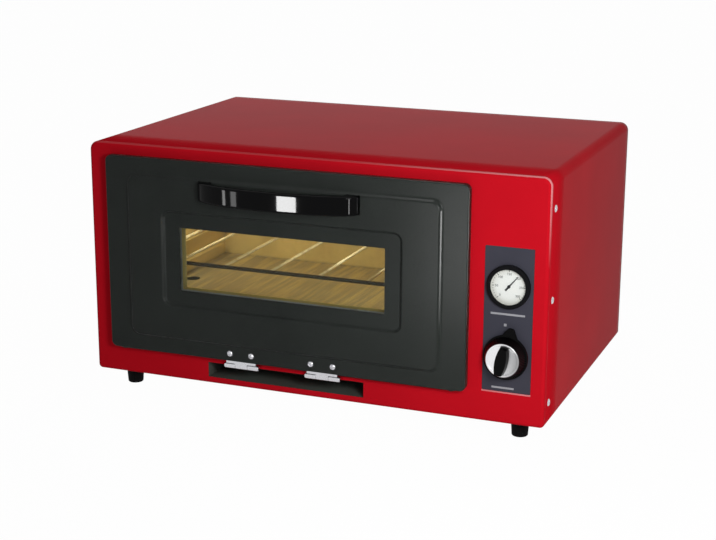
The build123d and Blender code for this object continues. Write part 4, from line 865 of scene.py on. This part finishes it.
class OVEN_OT_hinges(OvenOperator, bpy.types.Operator):
    """Finishes the hinges and the channel behind them, and models the door's hinge screws"""
    bl_idname = "oven.hinges"
    bl_label = "Hinges"
    pieces = ("hinge_frame_leaves", "hinge_door_leaves", "hinge_pins", "hinge_frame_screws")

    def add_detail(self, sizes):
        dress("hinge_channel", look="channel_black")
        low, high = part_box("hinge_door_screws")
        seat_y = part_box("door_outer_panel")[0].y + sizes.raised_step
        seat_z = (low.z + high.z) / 2
        head_radius = 0.0036
        spots = [HINGE_LINE.x + hinge * sizes.hinge_spacing + side * sizes.hinge_screw_spread
                 for hinge in (-0.5, 0.5) for side in (-1, 1)]
        screws = bmesh.new()
        for number, x in enumerate(spots):
            screw_head(screws, Vector((x, seat_y, seat_z)), FRONT, head_radius, seat_y - low.y,
                       sizes.screw_recess, 0.3 + number)
        finish_piece("door_hinge_screws", screws, "zinc_steel",
                     stands_for=("hinge_door_screws",))


class OVEN_OT_cavity(OvenOperator, bpy.types.Operator):
    """Finishes the oven's inside, its runners, insulation, flue and the door's magnet"""
    bl_idname = "oven.cavity"
    bl_label = "Oven inside"
    pieces = ("liner_shell", "liner_back", "floor_plate", "burner_pan", "shelf_runner_left",
              "shelf_runner_right", "insulation_top", "insulation_left", "insulation_right",
              "insulation_back", "flue_duct", "door_magnet")


class OVEN_OT_shelf(OvenOperator, bpy.types.Operator):
    """Finishes the wire shelf"""
    bl_idname = "oven.shelf"
    bl_label = "Wire shelf"
    pieces = ("wire_shelf",)


class OVEN_OT_burner(OvenOperator, bpy.types.Operator):
    """Finishes the burner, its brackets, the injector, the flame sensor and the electrode"""
    bl_idname = "oven.burner"
    bl_label = "Burner"
    pieces = ("burner_tube", "burner_brackets", "gas_injector", "injector_bracket",
              "flame_sensor", "spark_electrode")


class OVEN_OT_gas_line(OvenOperator, bpy.types.Operator):
    """Finishes the valve and the pipes, and cuts the thread of the gas inlet"""
    bl_idname = "oven.gas_line"
    bl_label = "Gas line"
    pieces = ("gas_valve_body", "valve_bracket", "valve_spindle", "spring_seat",
              "return_spring", "inlet_pipe", "burner_pipe", "inlet_nut", "gas_inlet")

    def add_detail(self, sizes):
        low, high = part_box("gas_inlet")
        centre = Vector(((low.x + high.x) / 2, high.y, (low.z + high.z) / 2))
        pitch = sizes.thread_pitch
        turns = 8
        depth = 0.0005
        outer = 0.00658
        end_gap = 0.0006
        start = centre - REAR * (end_gap + pitch * turns)
        thread = bmesh.new()
        profile = [thread.verts.new(start + Vector((outer - depth * (number % 2), 0, 0))
                                    + REAR * pitch * number / 2)
                   for number in range(2 * turns - 1)]
        edges = [thread.edges.new(pair) for pair in zip(profile, profile[1:])]
        bmesh.ops.spin(thread, geom=profile + edges, cent=start, axis=REAR,
                       dvec=REAR * pitch / 40, angle=2 * pi, steps=40, use_duplicate=False)
        bmesh.ops.remove_doubles(thread, verts=thread.verts, dist=1e-6)
        bmesh.ops.recalc_face_normals(thread, faces=thread.faces)
        finish_piece("inlet_thread", thread, "brass", "casing")


class OVEN_OT_thermometer(OvenOperator, bpy.types.Operator):
    """Finishes the thermometer and prints its dial"""
    bl_idname = "oven.thermometer"
    bl_label = "Thermometer"
    pieces = ("thermometer_case", "thermometer_lens", "thermometer_dial",
              "thermometer_needle", "thermometer_capillary")

    def add_detail(self, sizes):
        face_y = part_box("thermometer_dial")[0].y
        centre = Vector((DIAL_CENTRE.x, face_y, DIAL_CENTRE.z))
        short_tick = 0.0014
        scale_radius = 0.0188
        number_radius = 0.0138
        number_height = 0.0036
        first_angle = -135
        marks = bmesh.new()
        for number in range(31):
            is_long = number % 5 == 0
            tick_length = sizes.tick_length if is_long else short_tick
            tick_width = 0.0006 if is_long else 0.0003
            tick = flat_bar(marks, 0, face_y, scale_radius - tick_length / 2, tick_width,
                            tick_length)
            turn = Matrix.Rotation(radians(first_angle + 9 * number), 3, "Y")
            bmesh.ops.rotate(marks, verts=tick.verts, cent=(0, 0, 0), matrix=turn)
            bmesh.ops.translate(marks, verts=tick.verts, vec=(centre.x, 0, centre.z))
        finish_piece("dial_ticks", marks, "needle_black", "casing")
        for number in range(7):
            angle = radians(first_angle + 45 * number)
            spot = centre + number_radius * Vector((sin(angle), 0, cos(angle)))
            self.print_number(str(50 * number), spot, number_height)

    def print_number(self, words, spot, height):
        """One upright number, centred on its spot and laid on the dial."""
        curve = bpy.data.curves.new("dial_number", "FONT")
        curve.body = words
        curve.size = height
        curve.align_x = "CENTER"
        curve.align_y = "CENTER"
        writer = linked("dial_number", curve)
        bpy.context.view_layer.update()
        mesh = bpy.data.meshes.new_from_object(writer)
        bpy.data.objects.remove(writer)
        shape = bmesh.new()
        shape.from_mesh(mesh)
        bpy.data.meshes.remove(mesh)
        place = Matrix.Translation(spot + FRONT * PRINT_LIFT) @ Matrix.Rotation(pi / 2, 4, "X")
        bmesh.ops.transform(shape, verts=shape.verts, matrix=place)
        finish_piece(f"dial_number_{words}", shape, "needle_black", "casing")


class OVEN_OT_control_plate(OvenOperator, bpy.types.Operator):
    """Finishes the control plate and prints its plain marks"""
    bl_idname = "oven.control_plate"
    bl_label = "Control plate"
    pieces = ("control_plate",)

    def add_detail(self, sizes):
        plate_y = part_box("control_plate")[0].y
        upper_bar = (-0.0006, 0.1455, 0.038, 0.0022)
        lower_bar = (-0.004, 0.0625, 0.025, 0.0022)
        square = (-0.003, 0.1335, 0.0030, 0.0030)
        marks = bmesh.new()
        for shift, z, width, height in (upper_bar, lower_bar, square):
            flat_bar(marks, KNOB_CENTRE.x + shift, plate_y, z, width, height)
        finish_piece("plate_marks", marks, "panel_paint", "casing", look="plate_print")


class OVEN_OT_knob(OvenOperator, bpy.types.Operator):
    """Moulds the gas knob, with its pointer and leaf-shaped grip, and spins its silver cap"""
    bl_idname = "oven.knob"
    bl_label = "Knob"

    def add_detail(self, sizes):
        low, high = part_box("control_knob")
        cap_low, cap_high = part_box("knob_face")
        centre = Vector((KNOB_CENTRE.x, high.y, KNOB_CENTRE.z))
        cap_back = high.y - cap_high.y
        cap_front = high.y - cap_low.y
        core_front = cap_front - 0.0012
        skirt_front = 0.0030
        lean = Matrix.Rotation(radians(10.0), 3, "Y")
        shape = bmesh.new()
        self.skirt_and_core(shape, centre, skirt_front, core_front)
        pointer = self.pointer()
        self.raise_block(pointer, skirt_front, 1.0, 0.0006, lean, centre)
        add_to(shape, pointer)
        grip = self.leaf()
        self.raise_block(grip, high.y - low.y - core_front, 0.84, 0.0014, lean,
                         centre + FRONT * core_front)
        add_to(shape, grip)
        bmesh.ops.recalc_face_normals(shape, faces=shape.faces)
        finish_piece("knob_moulding", shape, "black_handle", stands_for=("control_knob",))
        cap = bmesh.new()
        self.cap_wall(cap, centre, cap_back, cap_front)
        finish_piece("knob_cap", cap, "knob_silver", stands_for=("knob_face",))

    def skirt_and_core(self, shape, centre, skirt_front, core_front):
        """The round body: a bore's edge behind, a rounded skirt and a tapered core."""
        bore = 0.0042
        skirt = 0.0250
        core_root = 0.0220
        core_tip = 0.0172
        turned(shape, [(bore, 0.0), (skirt - 0.0006, 0.0), (skirt, 0.0006),
                       (skirt, skirt_front - 0.0008), (skirt - 0.0003, skirt_front - 0.0002),
                       (skirt - 0.0009, skirt_front), (core_root, skirt_front),
                       (core_tip, core_front), (0.0, core_front)], centre, FRONT, 96)

    def cap_wall(self, shape, centre, back, front):
        """The cap: a rolled hem, a tapered side and a face with one turned groove."""
        base = 0.0232
        face = 0.0184
        turned(shape, [(base - 0.0012, back), (base - 0.0002, back), (base, back + 0.0003),
                       (face + 0.0003, front - 0.0009), (face, front - 0.0004),
                       (face - 0.0005, front - 0.0001), (face - 0.0010, front),
                       (face - 0.0022, front), (face - 0.0026, front - 0.0003),
                       (face - 0.0030, front), (0.0, front)], centre, FRONT, 120)

    def pointer(self):
        """The pointer's outline: a tapered tab that leaves the skirt."""
        root_half, tip_half = 0.0088, 0.0030
        root, tip = 0.0232, 0.0333
        pointer = bmesh.new()
        corners = [pointer.verts.new((x, 0, z)) for x, z in
                   ((-root_half, root), (root_half, root), (tip_half, tip), (-tip_half, tip))]
        pointer.faces.new(corners)
        round_off(pointer, corners[2:], 0.0016, 4, "VERTICES")
        return pointer

    def leaf(self):
        """The grip's outline: a disc cut by two wide arcs, towards the front."""
        half_width = 0.00725
        arc = 0.046
        leaf = bmesh.new()
        bmesh.ops.create_circle(leaf, cap_ends=True, segments=96, radius=0.0164)
        for vert in leaf.verts:
            half = half_width - arc + (arc**2 - vert.co.y**2)**0.5
            vert.co.x = max(-half, min(half, vert.co.x))
        bmesh.ops.remove_doubles(leaf, verts=leaf.verts, dist=1e-5)
        bmesh.ops.rotate(leaf, verts=leaf.verts, matrix=Matrix.Rotation(pi / 2, 3, "X"),
                         cent=(0, 0, 0))
        return leaf

    def raise_block(self, shape, rise, narrow, radius, lean, seat):
        """Draws a flat outline forwards, narrows its front, rounds it and sets it in place."""
        front = grown_verts(shape)
        bmesh.ops.translate(shape, verts=front, vec=FRONT * rise)
        bmesh.ops.scale(shape, verts=front, vec=(narrow, 1, 1 - (1 - narrow) * 0.5))
        bmesh.ops.recalc_face_normals(shape, faces=shape.faces)
        chosen = sharp_edges(shape, 40.0, lambda edge: all(
            vert.co.y < -rise * 0.9 for vert in edge.verts))
        round_off(shape, chosen, radius, 4)
        bmesh.ops.rotate(shape, verts=shape.verts, cent=(0, 0, 0), matrix=lean)
        bmesh.ops.translate(shape, verts=shape.verts, vec=seat)


class OVEN_OT_casing_screws(OvenOperator, bpy.types.Operator):
    """Models the three screws on each side of the casing"""
    bl_idname = "oven.casing_screws"
    bl_label = "Casing screws"

    def add_detail(self, sizes):
        low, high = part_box("casing_screws")
        half_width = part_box("outer_casing")[1].x
        y = (low.y + high.y) / 2
        radius = 0.004
        heights = (low.z + radius, low.z + 0.119, high.z - radius)
        screws = bmesh.new()
        for side in (-1, 1):
            for number, z in enumerate(heights):
                screw_head(screws, Vector((side * half_width, y, z)), Vector((side, 0, 0)),
                           radius, high.x - half_width, sizes.screw_recess,
                           0.5 + number + side)
        finish_piece("side_screws", screws, "bezel_black", stands_for=("casing_screws",),
                     look="zinc_steel")


# Studio

PHOTO_WIDTH = 716
FOCAL_PIXELS = 1551.475
SENSOR_WIDTH = 36.0
CAMERA_PLACE = (0.66418, -1.70558, 0.61970)
CAMERA_TARGET = (0.0008, -0.0235, 0.1340)
CAMERA_ROLL = radians(0.248)
FLOOR_GREY = (0.86, 0.86, 0.86)
FLOOR_GLOW = 0.98
WORLD_LIGHT = 0.24
WHITE = (1.0, 1.0, 1.0)
WARM_WHITE = (1.0, 0.92, 0.74)

# Each lamp's name, place, target, width, depth, watts and colour
LAMPS = (
    ("key", (0.55, -0.75, 0.42), (0.10, -0.17, 0.17), 0.22, 0.22, 3.6, WHITE),
    ("top", (0.1, 0.2, 2.1), (0.0, 0.0, 0.2), 1.6, 1.2, 5.0, WHITE),
    ("oven_fill", (-0.205, -0.09, 0.240), (-0.246, 0.08, 0.16), 0.05, 0.05, 0.19, WARM_WHITE),
    ("oven_fill", (0.03, -0.09, 0.240), (0.036, 0.08, 0.16), 0.05, 0.05, 0.19, WARM_WHITE),
)

# The place, width, height and watts of each card that one piece reflects
HANDLE_TARGET = (-0.02, -0.21, 0.255)
HANDLE_CARDS = (
    ((-0.154, -0.70, 0.160), 0.095, 0.120, 7.0),
    ((-0.66, -0.73, 0.10), 0.03, 0.14, 0.5),
    ((-0.59, -0.80, 0.10), 0.05, 0.14, 0.5),
    ((0.586, -0.778, 0.10), 0.04, 0.14, 1.0),
)
DOOR_TARGET = (0.10, -0.18, 0.17)
DOOR_CARDS = (
    ((0.07, -0.66, 0.10), 0.16, 0.22, 1.4),
    ((0.80, -0.19, 0.08), 0.12, 0.20, 9.0),
    ((-0.10, -0.15, 1.15), 0.60, 0.12, 4.0),
)


class OVEN_OT_studio(OvenOperator, bpy.types.Operator):
    """Sets up the pale floor, the soft lamps and the camera at the photograph's angle"""
    bl_idname = "oven.studio"
    bl_label = "Studio"

    def add_detail(self, sizes):
        scene = bpy.context.scene
        scene.view_settings.view_transform = "Standard"
        self.camera(scene)
        self.floor()
        self.surroundings(scene)
        for row in LAMPS:
            self.lamp(*row)
        for piece, target, rows in (("handle_grip", HANDLE_TARGET, HANDLE_CARDS),
                                    ("door_pressing", DOOR_TARGET, DOOR_CARDS)):
            for row in rows:
                self.card(piece, target, *row)

    def aimed(self, place, target):
        """The pose of a camera or a lamp that stands in its place and faces its target."""
        turn = (Vector(target) - Vector(place)).to_track_quat("-Z", "Y")
        return Matrix.Translation(place) @ turn.to_matrix().to_4x4()

    def camera(self, scene):
        camera = linked("photo_camera", bpy.data.cameras.new("photo_camera"))
        camera.data.sensor_width = SENSOR_WIDTH
        camera.data.lens = FOCAL_PIXELS / PHOTO_WIDTH * SENSOR_WIDTH
        camera.matrix_world = (self.aimed(CAMERA_PLACE, CAMERA_TARGET)
                               @ Matrix.Rotation(CAMERA_ROLL, 4, "Z"))
        scene.camera = camera

    def floor(self):
        """A plain floor that the camera sees as white and that lights the part as grey."""
        shape = bmesh.new()
        bmesh.ops.create_grid(shape, x_segments=1, y_segments=1, size=8.0)
        floor = linked("studio_floor", mesh_of(shape, "studio_floor"))
        pale = Finish("studio_floor", FLOOR_GREY, Roughness=1.0, Specular_IOR_Level=0.0)
        lit = Signal(pale, pale.shader.outputs["BSDF"])
        glow = pale.node("ShaderNodeEmission", {}, {"Color": (*WHITE, 1), "Strength": 1.0})
        pale.show_mix(FLOOR_GLOW * pale.seen_directly(), lit, glow)
        floor.data.materials.append(pale.material)

    def surroundings(self, scene):
        """A world that is seen as white and lights the part more softly."""
        world = bpy.data.worlds.new("studio")
        world.use_nodes = True
        scene.world = world
        nodes = Nodes(world.node_tree)
        level = WORLD_LIGHT + (1 - WORLD_LIGHT) * nodes.seen_directly()
        background = world.node_tree.nodes["Background"]
        background.inputs["Color"].default_value = (*WHITE, 1.0)
        world.node_tree.links.new(level.socket, background.inputs["Strength"])

    def lamp(self, name, place, target, width, depth, watts, colour):
        """A soft lamp that lights the part and is not seen itself."""
        light = bpy.data.lights.new(name, "AREA")
        light.shape = "RECTANGLE"
        light.size = width
        light.size_y = depth
        light.energy = watts
        light.color = colour
        lamp = linked(name, light)
        lamp.matrix_world = self.aimed(place, target)
        lamp.visible_camera = False
        return lamp

    def card(self, piece, target, place, width, height, watts):
        """A lit card that only shows as a reflection in one piece."""
        card = self.lamp("card", place, target, width, height, watts, WHITE)
        card.visible_diffuse = False
        receivers = bpy.data.collections.new("card_" + piece)
        receivers.objects.link(bpy.data.objects[piece])
        card.light_linking.receiver_collection = receivers


# Add-on

OPERATORS = (
    OVEN_OT_casing, OVEN_OT_feet, OVEN_OT_door, OVEN_OT_glass, OVEN_OT_handle,
    OVEN_OT_hinges, OVEN_OT_cavity, OVEN_OT_shelf, OVEN_OT_burner, OVEN_OT_gas_line,
    OVEN_OT_thermometer, OVEN_OT_control_plate, OVEN_OT_knob, OVEN_OT_casing_screws,
    OVEN_OT_studio,
)


class OVEN_PT_pieces(bpy.types.Panel):
    """Lists the oven's pieces, sizes and colours"""
    bl_idname = "OVEN_PT_pieces"
    bl_label = "Portable gas oven"
    bl_space_type = "VIEW_3D"
    bl_region_type = "UI"
    bl_category = "Oven"

    def draw(self, context):
        column = self.layout.column(align=True)
        for operator in OPERATORS:
            column.operator(operator.bl_idname)
        for group in (context.scene.oven_sizes, context.scene.oven_paints):
            box = self.layout.box()
            for name in group.__annotations__:
                box.prop(group, name)


CLASSES = (OvenPaints, OvenSizes, *OPERATORS, OVEN_PT_pieces)


def register():
    for item in CLASSES:
        bpy.utils.register_class(item)
    bpy.types.Scene.oven_sizes = bpy.props.PointerProperty(type=OvenSizes)
    bpy.types.Scene.oven_paints = bpy.props.PointerProperty(type=OvenPaints)


def unregister():
    del bpy.types.Scene.oven_paints
    del bpy.types.Scene.oven_sizes
    for item in reversed(CLASSES):
        bpy.utils.unregister_class(item)


def main():
    register()
    for operator in OPERATORS:
        group, name = operator.bl_idname.split(".")
        getattr(getattr(bpy.ops, group), name)()


if __name__ == "__main__":
    main()
